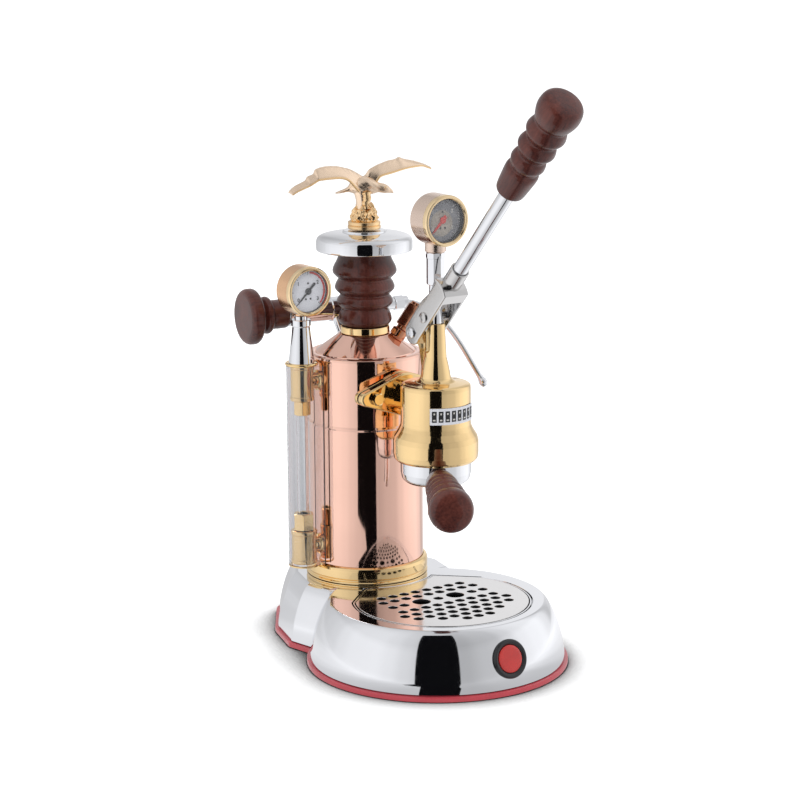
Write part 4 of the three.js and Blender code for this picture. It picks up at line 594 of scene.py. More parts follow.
def make_cap():
    rings = [(17.8, 246.6), (20.3, 249.2), (20.9, 252), (19.9, 256.2), (18.3, 259.9), (19.9, 261.8),
        (21.6, 264), (21.8, 266.4), (20.5, 269), (19.2, 270.8), (20.9, 272.7), (23, 275.2), (23.2, 277.6),
        (21.9, 280.9), (20.6, 283.2), (22.3, 285.2), (24.5, 287.6), (24.9, 290.2), (23.9, 293.4),
        (22.2, 296.6), (21, 299.4), (20.4, 302), (20.3, 305)]
    profile = [(16.4, 246.6), *spline(rings, 5), (0, 305), (0, 273.2), (4.2, 273.2), (4.2, 251.2),
        (16.4, 251.2)]
    piece(lathe("cap_knob", profile, count=96, sharp=45), WOOD, "filler_cap")
    shoulder = spline([(37.5, 312), (37.1, 313.9), (36.2, 315.3), (34.6, 316.5), (32.2, 317.4), (29.1, 318.1),
        (24, 318.9), (18.4, 319.5)], 5)
    dome = [(0, 305.3), (37.3, 305.3, 0.9), (37.5, 307.5), (37.5, 311.8), *shoulder, (17.8, 319.6),
        (17, 319.2, 0.3), (16.5, 320.9, 0.6), (0, 321.8)]
    piece(lathe("cap_dome", dome, count=160, sharp=50), CHROME, "cap_disc")


# Water gauge

SIGHT = (-58.4, 0, 0)
GUARD_OUTER, GUARD_INNER, GUARD_REACH = 12.1, 11.2, 12
GUARD_LOW, GUARD_HIGH = 63, 221


def sight_post(name, node, radius, low, high):
    """An upright fitting with an arm to the boiler."""
    waist, bead, arm = radius - 0.6, 0.9, 6.6
    body = lathe(name, [(0, low), (radius, low, bead), (radius, low + 3, 0.4), (waist, low + 3.6, 0.4),
        (waist, high - 3.6, 0.4), (radius, high - 3, 0.4), (radius, high, bead), (0, high)], SIGHT, count=64)
    bar = lathe("arm", [(0, 0), (arm, 0), (arm, 11.5, 1.5), (arm + 1.4, 12.6, 0.5), (arm + 1.4, 15.4),
        (0, 15.4)], (SIGHT[0], 0, (low + high) / 2), (1, 0, 0), count=48)
    piece(join(body, bar), GOLD, node)


def hex_nut(name, flats, low, high, origin, axis, bore=0, count=6):
    """A nut whose corners are turned back at both ends."""
    corner = flats / cos(pi / count) / 2
    outline = fillet([(*p, 0.5) for p in circle(corner, count=count)], steps=3)
    lines = [outline] + ([circle(bore, count=32)] if bore else [])
    nut = slab(name, lines, low, high, 0.3, on_axis(origin, axis))
    ends = lathe("ends", [(0, low - 0.1), (corner - 1.3, low - 0.1), (corner + 0.1, low + 0.9),
        (corner + 0.1, high - 0.9), (corner - 1.3, high + 0.1), (0, high + 0.1)], origin, axis, count=64)
    return combine(nut, ends, "INTERSECT")


def make_sight():
    sight_post("sight_upper_post", "sight_top_fitting", 9.3, 193.5, 222)
    sight_post("sight_lower_post", "sight_bottom_fitting", 10.2, 64, 90.4)
    piece(hex_nut("sight_upper_nut", 12.4, 182.2, 193.2, SIGHT, UP, 4.9), GOLD, "sight_top_nut")
    piece(hex_nut("sight_lower_nut", 14.6, 90.7, 103.7, SIGHT, UP, 4.9), GOLD, "sight_bottom_nut")
    piece(lathe("sight_tube", [(3.3, 90.7), (4.6, 90.7), (4.6, 193.2), (3.3, 193.2)], SIGHT, count=48), GLASS,
        "sight_glass")
    outer, inner, reach = GUARD_OUTER, GUARD_INNER, GUARD_REACH
    outline = [(reach, outer), *arc((0, 0), outer, 90 * DEG, 270 * DEG, 32), (reach, -outer), (reach, -inner),
        *arc((0, 0), inner, 270 * DEG, 90 * DEG, 32), (reach, inner)]
    piece(slab("sight_cover", [outline], GUARD_LOW, GUARD_HIGH, 0.2, at(SIGHT)), GUARD, "sight_guard")
    # The guard's edges get an opaque dark brown, a painted reflection of the brass through the clear plastic
    edges = []
    for side in (-1, 1):
        line = [(reach + x, side * y) for x, y in ((-0.3, outer), (0.5, outer), (0.5, inner), (-0.3, inner))]
        edges.append(slab("edge", [line], GUARD_LOW, GUARD_HIGH, 0.1, at(SIGHT), 1))
    piece(join(*edges), GUARD_EDGE_REFLECTION, like="sight_guard")
    ring = [(9.6, 221.2), (12.5, 221.2, 0.8), (12.9, 222.4, 0.6), (12.3, 223.6, 0.8), (9.6, 223.6)]
    piece(lathe("guard_ring", ring, SIGHT), GOLD, like="sight_top_fitting")
    foot = [(9.5, 61.8), (12.3, 61.8, 0.3), (12.3, 62.9, 0.3), (9.5, 62.9)]
    piece(lathe("guard_foot", foot, SIGHT), GOLD, like="sight_bottom_fitting")
    stem = [(0, 222.3), (10.2, 222.3, 0.5), (6.8, 251.4, 0.8), (7.6, 252.2, 0.5), (7.6, 256.9, 0.7), (5, 257),
        (5, 259.5), (0, 259.5)]
    piece(lathe("gauge_cone", stem, SIGHT, count=64), CHROME, "gauge_stem")


# Gauges

CASE_RADIUS, CASE_WALL = 19.2, 1.3
WELL_RADIUS = CASE_RADIUS - CASE_WALL
ZERO_ANGLE, SWEEP = 225, 270


def dial_numbers(name, matrix, look, like):
    """Raised figures round the dial."""
    made = []
    for word, angle in (("0", 216 * DEG), ("1", 144 * DEG), ("2", 36 * DEG), ("3", -36 * DEG)):
        data = bpy.data.curves.new(name, "FONT")
        data.body = word
        data.size = 3.9 * MM
        data.align_x = data.align_y = "CENTER"
        data.extrude = 0.00004
        data.offset = 0.00011
        letter = add_object(name, data, matrix @ at(spoke(angle, 10.6)))
        mesh = evaluated(letter)
        made.append(add_object(name, mesh, letter.matrix_world.copy()))
        bpy.data.objects.remove(letter)
    piece(join(*made), look, like=like)


def make_gauge(prefix, x, z, y, depth, boss, looks, recess):
    """A gauge that faces the front at y; boss is its neck's radius, lower end and y."""
    case_look, dial_look, ink, hand = looks
    case_node, dial_node = prefix + "_case", prefix + "_dial"
    front, outer, inner = -y, CASE_RADIUS, WELL_RADIUS
    glass, rest = 1.5, 1.5 + recess

    def disc(name, rows, count=96):
        """A ring of (radius, depth behind the front) rows."""
        return lathe(prefix + name, [(r, front - d, *more) for r, d, *more in rows], (x, 0, z), FRONT, count)

    back, floor = depth, depth - CASE_WALL
    body = disc("_housing", [(outer, 4.6), (outer, back - 1, 1.6), (outer - 3, back, 1), (0, back),
        (0, floor), (inner, floor), (inner, 1.3), (inner, 4.6)], 112)
    rim = disc("_rim", [(16, 3.2), (16, 1, 0.5), (16.9, 0, 0.7), (18.4, 0.1, 0.8), (outer, 1.4, 0.9),
        (outer, 4.5), (inner, 4.5), (inner, 3.2)], 128)
    piece(rim, RIM, like=case_node)
    # A black ring lines the well from the bezel down to the dial; its black is painted shade on the well's
    # inner wall
    liner = disc("_liner", [(15.7, rest), (15.9, 2.7), (inner - 0.2, 2.7), (inner - 0.2, rest)])
    piece(liner, BLACK, like=case_node)
    radius, bottom, boss_y = boss
    top = z - sqrt(inner ** 2 - radius ** 2) - 0.4
    neck = lathe("neck", [(0, bottom), (radius, bottom, 0.5), (radius, top), (0, top)], (x, boss_y, 0),
        count=48)
    piece(join(body, neck), case_look, case_node)
    fit = inner - 0.3
    window = disc("_window", [(0, glass + 1), (fit, glass + 1, 0.2), (fit, glass, 0.2), (0, glass)])
    piece(window, LENS, prefix + "_lens")
    piece(disc("_face", [(0, rest + 1), (fit, rest + 1), (fit, rest), (0, rest)]), dial_look, dial_node)

    # The dial's own axes: X right, Y up, Z out of the face
    on_face = at((x, rest - front, z)) @ Matrix.Rotation(90 * DEG, 4, "X")
    ticks = []
    for k in range(31):
        angle = (ZERO_ANGLE - SWEEP * k / 30) * DEG
        half, start, end = (0.12, 13.9, 15.4) if k % 5 else (0.22, 12.9, 15.4)
        ahead, side = Vector((cos(angle), sin(angle))), Vector((-sin(angle), cos(angle)))
        corners = [ahead * start - side * half, ahead * end - side * half, ahead * end + side * half,
            ahead * start + side * half]
        ticks.append(slab("tick", [corners], 0.02, 0.09, 0.01, on_face, 1))
    piece(join(*ticks), ink, like=dial_node).name = prefix + "_scale"
    dial_numbers(prefix + "_numbers", on_face @ Matrix.Translation((0, 0, 0.00008)), ink, dial_node)
    if hand is INK:
        band = [*arc((0, 0), 15.2, -42 * DEG, 84 * DEG, 40), *arc((0, 0), 13.6, 84 * DEG, -42 * DEG, 40)]
        piece(slab(prefix + "_red_arc", [band], 0.03, 0.1, 0.01, on_face, 1), INK_RED, like=dial_node)
    else:
        patch = circle(9.8, (-1, -2.2))
        piece(slab(prefix + "_patch", [patch], 0.01, 0.05, 0.01, on_face, 1), DIAL_BEIGE, like=dial_node)
    screws = []
    for angle in (250, 290, 90):
        screw = lathe("screw", [(0, 0.02), (0.8, 0.02), (0.8, 0.2), (0, 0.25)], count=20)
        screw.matrix_world = on_face @ at(spoke(angle * DEG, 6.2))
        screws.append(screw)
    piece(join(*screws), INK, like=dial_node).name = prefix + "_screws"
    half, tail = (0.75, 8.4) if hand is INK else (1.15, 4)
    blade = [(14, 0), (9.6, half * 0.7), (2.2, half), (0, half), (-tail + 0.5, half * 1.5), (-tail, half),
        (-tail, -half), (-tail + 0.5, -half * 1.5), (0, -half), (2.2, -half), (9.6, -half * 0.7)]
    needle = slab("needle", [blade], 0.3, 0.8, 0.1, on_face @ Matrix.Rotation(ZERO_ANGLE * DEG, 4, "Z"), 2)
    hub = lathe("hub", [(0, 0.3), (2.6, 0.3), (2.6, 1.1, 0.3), (0, 1.1)], count=40)
    hub.matrix_world = on_face
    join(needle, hub)
    needle.name = prefix + "_needle"
    piece(needle, hand, prefix + "_pointer")


def make_gauges():
    make_gauge("boiler_gauge", SIGHT[0], 280, -15, 20.5, (5, 259.8, 0), (ROSE, DIAL_PALE, INK, INK), 2.7)
    make_gauge("group_gauge", 0, 340.5, -112.5, 22.6, (8, 316.3, GROUP[1]),
        (CASE, DIAL_DARK, INK_PALE, INK_RED), 5.2)
    adapter = hex_nut("gauge_adapter_bar", 13.8 * cos(pi / 8), 291.3, 316, GROUP, UP, count=8)
    band = hex_nut("band", 14.8 * cos(pi / 8), 311, 316, GROUP, UP, count=8)
    piece(join(adapter, band), CHROME, "gauge_adapter")


# Steam valve, wand and safety valve

CONE_OUT, CONE_UP = 0.586, 0.81
VALVE = (0, 33, 254.6)
VALVE_AXIS = Vector((0.99255, -0.12187, 0))


def make_steam():
    barrel = [(0, -49.5), (8.5, -49.5, 0.5), (8.9, -41, 0.5), (9.7, -40.4, 0.5), (9.7, -34, 0.5),
        (8.9, -33, 0.5), (8.9, -12, 0.5), (9.7, -11, 0.5), (9.7, 9, 1.2), (5.1, 9, 0.3), (5.1, 20, 0.2),
        (6.2, 20.4, 0.4), (6.2, 24, 0.4), (5.1, 24.4, 0.2), (5.1, 45, 0.4), (3.6, 45), (3.6, 50), (0, 50)]
    body = lathe("valve_barrel", barrel, VALVE, VALVE_AXIS, count=64)
    nut = hex_nut("valve_nut", 19.4, -48.3, -40.5, VALVE, VALVE_AXIS)
    riser = lathe("riser", [(0, -30), (3.6, -30), (3.6, 0), (0, 0)], (-8, *VALVE[1:]), (0, CONE_OUT, CONE_UP),
        count=40)
    skin = lathe("skin", [(0, 200), (45, 200), (45, 226.9), (39.7, 226.9), (20.9, 240.5), (0, 240.5)])
    piece(join(body, nut, combine(riser, skin)), CHROME, "steam_valve_body")

    start, length = -49.8, 35
    shape = [(10.2, 0), (11.3, 0.03), (11.3, 0.33), (10.4, 0.375), (13.6, 0.4), (14.6, 0.46), (13.8, 0.53),
        (11.4, 0.575), (11.3, 0.61), (13.5, 0.655), (19.6, 0.7), (21.6, 0.76), (21.8, 0.84), (21.4, 0.92),
        (19.6, 0.98), (17, 1)]
    line = spline([(r, start - h * length) for r, h in shape], 5)
    profile = [(3.3, start), *line, (0, start - length), (0, start - 20), (3.3, start - 20)]
    piece(lathe("steam_handwheel", profile, VALVE, VALVE_AXIS, count=96, sharp=45), WOOD, "steam_knob")

    nut = hex_nut("wand_union", 10.6, 45.3, 53.3, VALVE, VALVE_AXIS, 3.95)
    sleeve = lathe("sleeve", [(2.6, 53), (5.3, 53), (5.3, 57.3, 0.8), (2.6, 57.3)], VALVE, VALVE_AXIS,
        count=40)
    piece(join(nut, sleeve), CHROME, "wand_nut")
    route = [(50.22, 26.83, 254.6), (56.87, 26.02, 254.6), (63.5, 22.6, 253), (70, 15, 248.6),
        (75.6, 8, 242.4), (81, 0.6, 233.8), (86.4, -7.6, 221.4), (91.4, -15.4, 207.4), (95.6, -22, 195.4)]
    pipe = tube("steam_pipe", spline(route, 6), 2.3, 24)
    ahead = Vector(route[-1]) - Vector(route[-2])
    tip = lathe("tip", [(0, -2.4), (2.4, -2.4), (2.8, 0, 0.5), (3.5, 2.1, 1), (3.5, 4.2, 1), (2.1, 7, 1),
        (0, 7)], route[-1], ahead, count=40)
    piece(join(pipe, tip), CHROME, "steam_wand")

    out = spoke(-15 * DEG)
    direction = out * CONE_OUT + UP * CONE_UP
    origin = out * 28.5 + UP * 239
    neck = lathe("safety_body", [(0, -5.5), (6.4, -5.5), (6.4, 1.2, 0.6), (4.4, 2.2, 0.6), (4.4, 5), (0, 5)],
        origin, direction, count=48)
    hexagon = hex_nut("hexagon", 12.4, 4.5, 23.5, origin, direction)
    cap = lathe("cap", [(0, 23), (5.2, 23), (5.2, 25.9, 0.9), (3, 25.9, 0.3), (2.6, 25.2), (0, 25.2)], origin,
        direction, count=48)
    piece(join(neck, hexagon, cap), BROWN, "safety_valve")


# Group

BOLT_REACH = 28


def flange_outline(shrink):
    large, small, reach, half_turn = 17 - shrink, 5.5 - shrink, 35.5, 180 * DEG
    turn = acos((large - small) / reach)
    line = []
    for side, middle in ((1, 0), (-1, half_turn)):
        line += arc((side * reach, 0), small, middle - turn, middle + turn, 16)
        line += arc((0, 0), large, middle + turn, middle + half_turn - turn, 6)
    return line


def make_group():
    profile = [(27.6, 158), (29.8, 158, 1), (31.8, 160.2, 2.4), (32.3, 164, 2), (32.3, 173.4, 3),
        (31.2, 177.2, 3), (28.2, 182, 5), (26.7, 185.4, 4), (26.5, 189, 1), (26.5, 213.2, 0.5),
        (26.2, 216.2, 2.2), (23.4, 217.2, 3), (14.8, 218.2, 4), (11.6, 220.6, 4), (10.7, 226, 4),
        (9.7, 231, 4), (8.3, 236.8, 3), (8.1, 241, 3), (7, 262.3, 0.5), (5.4, 262.3), (5.4, 212), (21.3, 212),
        (21.3, 171), (23.6, 171), (23.6, 168.6), (29.4, 168.6), (29.4, 161.2), (27.6, 161.2)]
    bell = lathe("group_casting", profile, GROUP, count=144, sharp=40)
    slot = [(-3, 243.4), *arc((0, 243.4), 3, 180 * DEG, 360 * DEG, 12), (3, 270), (-3, 270)]
    combine(bell, slab("slot", [slot], -20, 20, 0, at(GROUP) @ SIDEWAYS, 1))
    neck = lathe("feed", spline([(13.4, 52.7), (12.9, 56), (12.6, 62), (12.9, 70), (14.5, 76)], 4)
        + [(0, 76), (0, 52.7)], FLANGE, FRONT, count=64)
    flange = slab("flange", [flange_outline(0)], 52.7, 58.3, 1.7, on_axis(FLANGE, FRONT), 4, 0.4)
    gasket = slab("gasket_sheet", [flange_outline(0.6), circle(14.5, count=48)], 51, 52.6, 0.2,
        on_axis(FLANGE, FRONT))
    piece(gasket, RUBBER, "flange_gasket")
    lug_line = [*arc((-81, 253.5), 6.4, 150 * DEG, -30 * DEG, 14), (-82.1, 241.3), (-84.8, 228), (-83.7, 219),
        (-79, 213.8), (-94, 213.8), (-94, 257.2)]
    lug = slab("lug", [lug_line], -5.4, 5.4, 0.8, SIDEWAYS)
    piece(join(bell, neck, flange, lug), GOLD, "group_body")
    for side, node in ((-1, "flange_bolt_left"), (1, "flange_bolt_right")):
        head = hex_nut(node + "_head", 9, 58.6, 62.2, (side * BOLT_REACH, 0, FLANGE[2]), FRONT)
        shaft = lathe("shaft", [(0, 46), (3, 46), (3, 59), (0, 59)], (side * BOLT_REACH, 0, FLANGE[2]), FRONT,
            count=24)
        piece(join(head, shaft), GOLD, node)


def make_strip():
    """A pale strip with a row of dark windows, bent round the bell."""
    def bent(name, middle, half, low, high, inner, outer):
        steps = max(2, int(half))
        rings = []
        for k in range(steps + 1):
            out = spoke((middle - 90 + half * (2 * k / steps - 1)) * DEG)
            rings.append([out * r + UP * z for r, z in ((inner, low), (outer, low), (outer, high),
                (inner, high))])
        return loft(name, rings, at(GROUP))

    piece(bent("strip_band", 0, 44, 190.2, 202.6, 26.8, 27.5), DIAL_PALE, "temperature_strip")
    centres = [-37 + 10.6 * k for k in range(8)]
    windows = [bent("window", c, 3.7, 192.3, 200.6, 27.4, 27.62) for c in centres]
    piece(join(*windows), INK, like="temperature_strip").name = "strip_windows"
    marks = []
    for c in centres:
        marks.append(bent("bar", c, 1.9, 193.4, 194.5, 27.5, 27.7))
        marks.append(bent("dot", c, 1.2, 198, 199.3, 27.5, 27.7))
    piece(join(*marks), INK_PALE, like="temperature_strip").name = "strip_marks"


# Lever

LEVER = 47 * DEG
FULCRUM = Vector((0, -81, 253.5))
LEVER_OUT = Vector((0, -cos(LEVER), sin(LEVER)))
LEVER_UP = Vector((0, sin(LEVER), cos(LEVER)))
# A handle's profile in shares of its radius and length
SHARES = [(0.42, 0), (0.57, 0.012), (0.62, 0.05), (0.66, 0.12), (0.7, 0.21), (0.675, 0.247), (0.61, 0.27),
    (0.665, 0.295), (0.72, 0.33), (0.675, 0.37), (0.585, 0.4), (0.675, 0.435), (0.785, 0.475), (0.72, 0.525),
    (0.605, 0.555), (0.71, 0.59), (0.825, 0.632), (0.765, 0.685), (0.685, 0.72), (0.79, 0.76), (0.885, 0.82),
    (0.9, 0.865), (0.845, 0.915), (0.7, 0.943), (0.4, 0.957)]


def handle(name, node, origin, axis, start, length, radius, bore, depth):
    """A ringed wooden grip with a blind bore."""
    line = spline([(r * radius, start + h * length) for r, h in SHARES], 5)
    profile = [(bore, start), *line, (0, line[-1][1] + 0.2), (0, start + depth), (bore, start + depth)]
    piece(lathe(name, profile, origin, axis, count=96, sharp=50), WOOD, node)


def make_lever():
    # Fork coordinates: X along the lever, Y square to it and up, Z across
    matrix = at(FULCRUM) @ Matrix((LEVER_OUT, LEVER_UP, (-1, 0, 0))).transposed().to_4x4()
    outline = [*arc((0, 0), 9, -75 * DEG, -255 * DEG, 24),
        *spline([(22.2, 9.3), (30, 8.6), (38.3, 6.75), (44.8, 6.75), (50, 8.2), (53.6, 9)], 5), (55.2, 5),
        (55.6, 0), (55.2, -5), (53.6, -9)]
    fork = slab("fork_body", [outline], -11, 11, 1.1, matrix)

    def block(u0, u1, v0, v1, half, rounding):
        line = fillet([(u0, v0, rounding), (u1, v0, rounding), (u1, v1, rounding), (u0, v1, rounding)],
            steps=4)
        return slab("block", [line], -half, half, 0.6, matrix)

    combine(fork, block(-22, 44.5, -20, 20, 8.5, 1))
    pocket = pin_pocket()
    combine(fork, block(*pocket, 10, 0.6))
    rod_foot = FULCRUM + LEVER_UP * 1.6
    combine(fork, lathe("socket", [(0, 50), (7.3, 50), (7.3, 71.5, 0.6), (6.1, 71.5, 0.3), (6.1, 68),
        (0, 68)], rod_foot, LEVER_OUT, count=64), "UNION")
    combine(fork, lathe("bore", [(0, 57.7), (6.1, 57.7), (6.1, 74), (0, 74)], rod_foot, LEVER_OUT, count=64))
    combine(fork, lathe("hole", [(0, -20), (3, -20), (3, 20), (0, 20)], FULCRUM, (1, 0, 0), count=40))
    pin_spot = FULCRUM + LEVER_OUT * PIN_REST[0] + LEVER_UP * PIN_REST[1]
    for side in (-1, 1):
        head = [(0, 10.7), (4.1, 10.7), (4.1, 12.2, 0.5), (2.1, 12.5, 0.2), (1.9, 11.7), (0, 11.7)]
        join(fork, lathe("pin_head", head, pin_spot, (side, 0, 0), count=48))
    piece(fork, SATIN, "lever_fork")
    pin = [(0, -12.3), (1.9, -12.3), (2.1, -12.8, 0.2), (3.9, -12.6, 0.5), (4.1, -11.3), (2.7, -11.3),
        (2.7, 11.3), (4.1, 11.3), (3.9, 12.6, 0.5), (2.1, 12.8, 0.2), (1.9, 12.3), (0, 12.3)]
    piece(lathe("fulcrum_screw", pin, FULCRUM, (1, 0, 0), count=48), CHROME, "fulcrum_pin")
    bar = [(0, 58), (5.8, 58, 0.5), (5.8, 218.5, 0.5), (0, 218.5)]
    piece(lathe("lever_bar", bar, rod_foot, LEVER_OUT, count=64), CHROME, "lever_rod")
    handle("lever_grip", "lever_handle", rod_foot, LEVER_OUT, 158.5, 98, 18.2, 6.1, 60.3)
    rod = [(0, 193.9), (3.6, 193.9), (3.6, 205.2), (5, 205.2), (5, 291), (0, 291)]
    piece(lathe("piston_shaft", rod, GROUP, count=48), CHROME, "piston_rod")


def pin_in_fork(turn):
    """The piston pin in fork coordinates when the lever has turned from rest."""
    rise = 14 + 18.2 * turn
    angle = LEVER + turn
    return (PIN_ARM * cos(angle) + rise * sin(angle), -PIN_ARM * sin(angle) + rise * cos(angle))


PIN_ARM = 15.5
PIN_REST = pin_in_fork(0)


def pin_pocket():
    places = [pin_in_fork((-72 + 75 * k / 15) * DEG) for k in range(16)]
    us, vs = [u for u, _ in places], [v for _, v in places]
    return min(us) - 3, max(us) + 3, min(vs) - 3, max(vs) + 3


# Portafilter

def make_portafilter():
    centre = Vector(GROUP)
    turn = Matrix.Rotation(-29 * DEG, 3, "Z")
    out = turn @ FRONT
    grip_foot = centre + UP * 147
    profile = [(3, 139.4), (14.5, 139.4, 6), (22.6, 141, 6), (25.7, 144, 5), (26.7, 149, 3), (26.7, 164, 0.4),
        (25.2, 164), (25.2, 148), (21.3, 144), (3, 142.4)]
    bowl = lathe("portafilter_cup", profile, GROUP, count=128, sharp=40)
    ears = []
    for facing in (0, 180):
        first, last = (facing - 17) * DEG, (facing + 17) * DEG
        line = [*arc((0, 0), 28.7, first, last, 8), *arc((0, 0), 26, last, first, 8)]
        ears.append(slab("ear", [line], 161.5, 163.7, 0.2, at(GROUP) @ turn.to_4x4()))
    shank = lathe("shank", [(0, 24), (8.2, 24), (6.6, 27.6, 2), (5.2, 30.4, 1), (5.2, 76.5), (0, 76.5)],
        grip_foot, out, count=48)
    piece(join(bowl, *ears, shank), CHROME, "portafilter_bowl")
    handle("portafilter_grip", "portafilter_handle", grip_foot, out, 30.5, 91, 18.2, 5.5, 46.3)
    places = ((0, 0), (6, 0), (12, 0.6), (18, 2.4), (23.1, 5))
    path = [centre + UP * (139.1 - fall) + out * reach for fall, reach in places]
    spout = tube("pour_spout", spline(path, 4), 6.6, 40)
    inner = tube("inner", spline([path[0] + UP * 2, *path[1:4], path[4] + out * 2 - UP * 2], 4), 4.6, 32)
    piece(combine(spout, inner), CHROME, "portafilter_spout")


# Bird finial

BIRD_FOOT, BIRD_ROOT, WING_RISE = 322.1, 356.5, 18.8
# Rows of (share of the span, lower edge, upper edge)
LEFT_WING = [(-0.02, -0.5, 0.27), (0.05, -0.5, 0.42), (0.16, -0.1, 0.62), (0.25, 0.2, 0.71),
    (0.35, 0.31, 0.79), (0.5, 0.32, 0.82), (0.6, 0.31, 0.77), (0.645, 0.3, 0.7), (0.668, 0.27, 0.55),
    (0.745, 0.14, 0.46), (0.78, 0.09, 0.31), (0.86, 0, 0.2), (0.93, -0.08, 0.1), (0.985, -0.17, -0.04),
    (1, -0.19, -0.1)]
RIGHT_WING = [(-0.02, -0.5, 0.27), (0.05, -0.5, 0.33), (0.11, -0.2, 0.54), (0.18, 0.15, 0.64),
    (0.24, 0.27, 0.71), (0.39, 0.35, 0.84), (0.5, 0.42, 0.88), (0.562, 0.455, 0.95), (0.633, 0.49, 0.87),
    (0.767, 0.525, 0.76), (0.86, 0.53, 0.65), (0.93, 0.46, 0.57), (1, 0.38, 0.45)]
BIRD_AHEAD = Vector((sin(57 * DEG), -cos(57 * DEG), 0))
BIRD_NEAR = Vector((-cos(57 * DEG), -sin(57 * DEG), 0))


def make_wing(side, span, table):
    """A smooth slab of feathers with rounded edges; its upper edge ends in short steps."""
    rings, edge = [], []
    for out, low, high in spline(table, 10):
        foot, top = Vector((0, -3.4, low * WING_RISE)), Vector((0, 3.4, high * WING_RISE))
        chord = top - foot
        normal = Vector((0, -chord.z, chord.y)).normalized()
        middle = Vector((side * out * span, 0, BIRD_ROOT)) + (foot + top) / 2
        thick = 1.15 - 0.45 * max(0, out)
        ring = []
        for c, s in circle(1, count=36):
            along, face = copysign(abs(c) ** 0.6, c), copysign(abs(s) ** 0.6, s)
            feather = 0.14 * sin(FULL * (out * 13 - along * 1.3)) * max(0, along + 0.25) * abs(s)
            row = 0.12 * sin(FULL * (along * 1.6 + 0.2)) * abs(s)
            ring.append(middle + chord / 2 * along + normal * (face * thick + 0.7 * (1 - along ** 2)
                + (feather + row) * copysign(1, s)))
        rings.append(ring)
        if out > 0.1:
            edge.append(middle - chord * 0.46 + normal * 0.5)
    return loft("wing", rings, sharp=60), tube("wing_edge", edge[::3], lambda t: 1 - 0.45 * t, 12)


def along_bird(u, near, z):
    return BIRD_AHEAD * u + BIRD_NEAR * near + UP * z


def make_bird():
    profile = [(0, BIRD_FOOT), (12.6, BIRD_FOOT), (12.9, 323, 0.4), (12.9, 324.4, 0.4), (12, 324.8, 0.2),
        (12.6, 325.4, 0.4), (12.6, 327.6, 0.6), (11.2, 328.2),
        *spline([(11, 328.6), (11.3, 330.5), (10.6, 333), (9.8, 335.6), (7.8, 338.4), (6, 340.2), (3, 341),
        (0, 341.2)], 6)]
    mound = lathe("bird_mound", profile, count=120, sharp=60)
    for vertex in mound.data.vertices:
        co = vertex.co / MM
        if co.z > 328.3:
            rock = noise.turbulence(co * 0.26, 2, False) + 0.25 * noise.noise(co * 0.8)
            vertex.co += Vector((co.x, co.y, 0.4 * co.z - 131)).normalized() * (rock - 0.5) * 2.2 * MM
    body = [(-22, 349.4, 2.2, 0.5), (-18, 350.4, 3.4, 1.2), (-13, 352, 3.6, 1.9), (-10, 354, 4.2, 4.2),
        (-6, 354.6, 6.4, 6.2), (-1, 354.9, 7.2, 7), (4, 354.8, 7, 6.6), (8, 354.2, 5.6, 5.2),
        (11.5, 353.6, 4.3, 3.8), (15.5, 352.8, 3.8, 3.7), (18.2, 352.2, 3.1, 3), (20.2, 351.2, 1.9, 2),
        (21.8, 350.4, 1, 1.3), (22.7, 349.4, 0.4, 0.7)]
    rings = []
    for u, z, half, tall in spline(body, 5):
        ring = []
        for k in range(32):
            a = FULL * k / 32
            ruffle = 1 + (0.035 * sin(9 * a + u * 1.1) if u < 14 else 0)
            ring.append(along_bird(u, cos(a) * half * ruffle, z + sin(a) * tall * ruffle))
        rings.append(ring)
    torso = loft("torso", rings, sharp=60)
    pillar = []
    rows = [(-7, 6, 5.6, 335), (-6.6, 5.2, 5.2, 339), (-6.3, 5, 5.2, 343), (-7.4, 5.2, 5.8, 348),
        (-9, 6, 6.2, 353), (-8, 5, 5, 357)]
    for left, right, deep, z in spline(rows, 5):
        middle, half = (left + right) / 2, (right - left) / 2
        ring = []
        for k in range(32):
            a = FULL * k / 32
            ring.append(along_bird(middle + cos(a) * half, sin(a) * deep * (1 + 0.03 * sin(a * 8)), z))
        pillar.append(ring)
    thighs = loft("thighs", pillar, sharp=60)
    left_wing, left_edge = make_wing(-1, 66, LEFT_WING)
    right_wing, right_edge = make_wing(1, 61, RIGHT_WING)
    piece(join(torso, thighs, left_wing, right_wing), FINIAL, "eagle_finial")

    # The wings' edge bars are real rims; the brighter, yellower gold they share with the mound is a painted
    # highlight along the leading edges
    bright = [left_edge, right_edge]
    for near in (-3.6, 3.8):
        joints = ((1.6, 1, 350.5), (2.2, 1.15, 346), (1.4, 1.2, 342), (1.8, 1.1, 338))
        leg = [along_bird(u, near * wide, z) for u, wide, z in joints]
        bright.append(tube("leg", spline(leg, 8), lambda t: 3.5 - 0.9 * t + 0.35 * sin(t * 21), 20))
        for toe in (-0.7, 0.1, 0.9):
            step = (BIRD_AHEAD + BIRD_NEAR * toe).normalized()
            grip = along_bird(2, near * 1.05, 340.6)
            toe_line = [grip, grip + step * 3.2 + UP * 0.5, grip + step * 5.6 - UP * 1.8]
            bright.append(tube("toe", spline(toe_line, 5), lambda t: 1.4 - 0.9 * t, 12))
    for near in (-3.2, 3.2):
        dome = spline([(0, -0.5), (0.7, -0.3), (0.8, 0.2), (0, 0.7)], 4)
        bright.append(lathe("eye", dome, along_bird(16.6, near, 353.9), BIRD_NEAR * near, count=16))
    piece(join(mound, *bright), MOUND, like="eagle_finial")


# Camera, floor and light

FLOOR_SIZE = 12
GLOSS_SHARE = 0.7
AZIMUTH = -33
DISTANCE, HEIGHT = 1850, 593.37
PITCH, YAW, ROLL = 12.4195, -0.8335, -0.3
FOCAL, PHOTO_WIDTH, SENSOR = 2414.58, 800, 36
FLOOR_LEVEL, SHEET_LEVEL, CARD_LEVEL = -0.0002, 0.0004, 0.0006


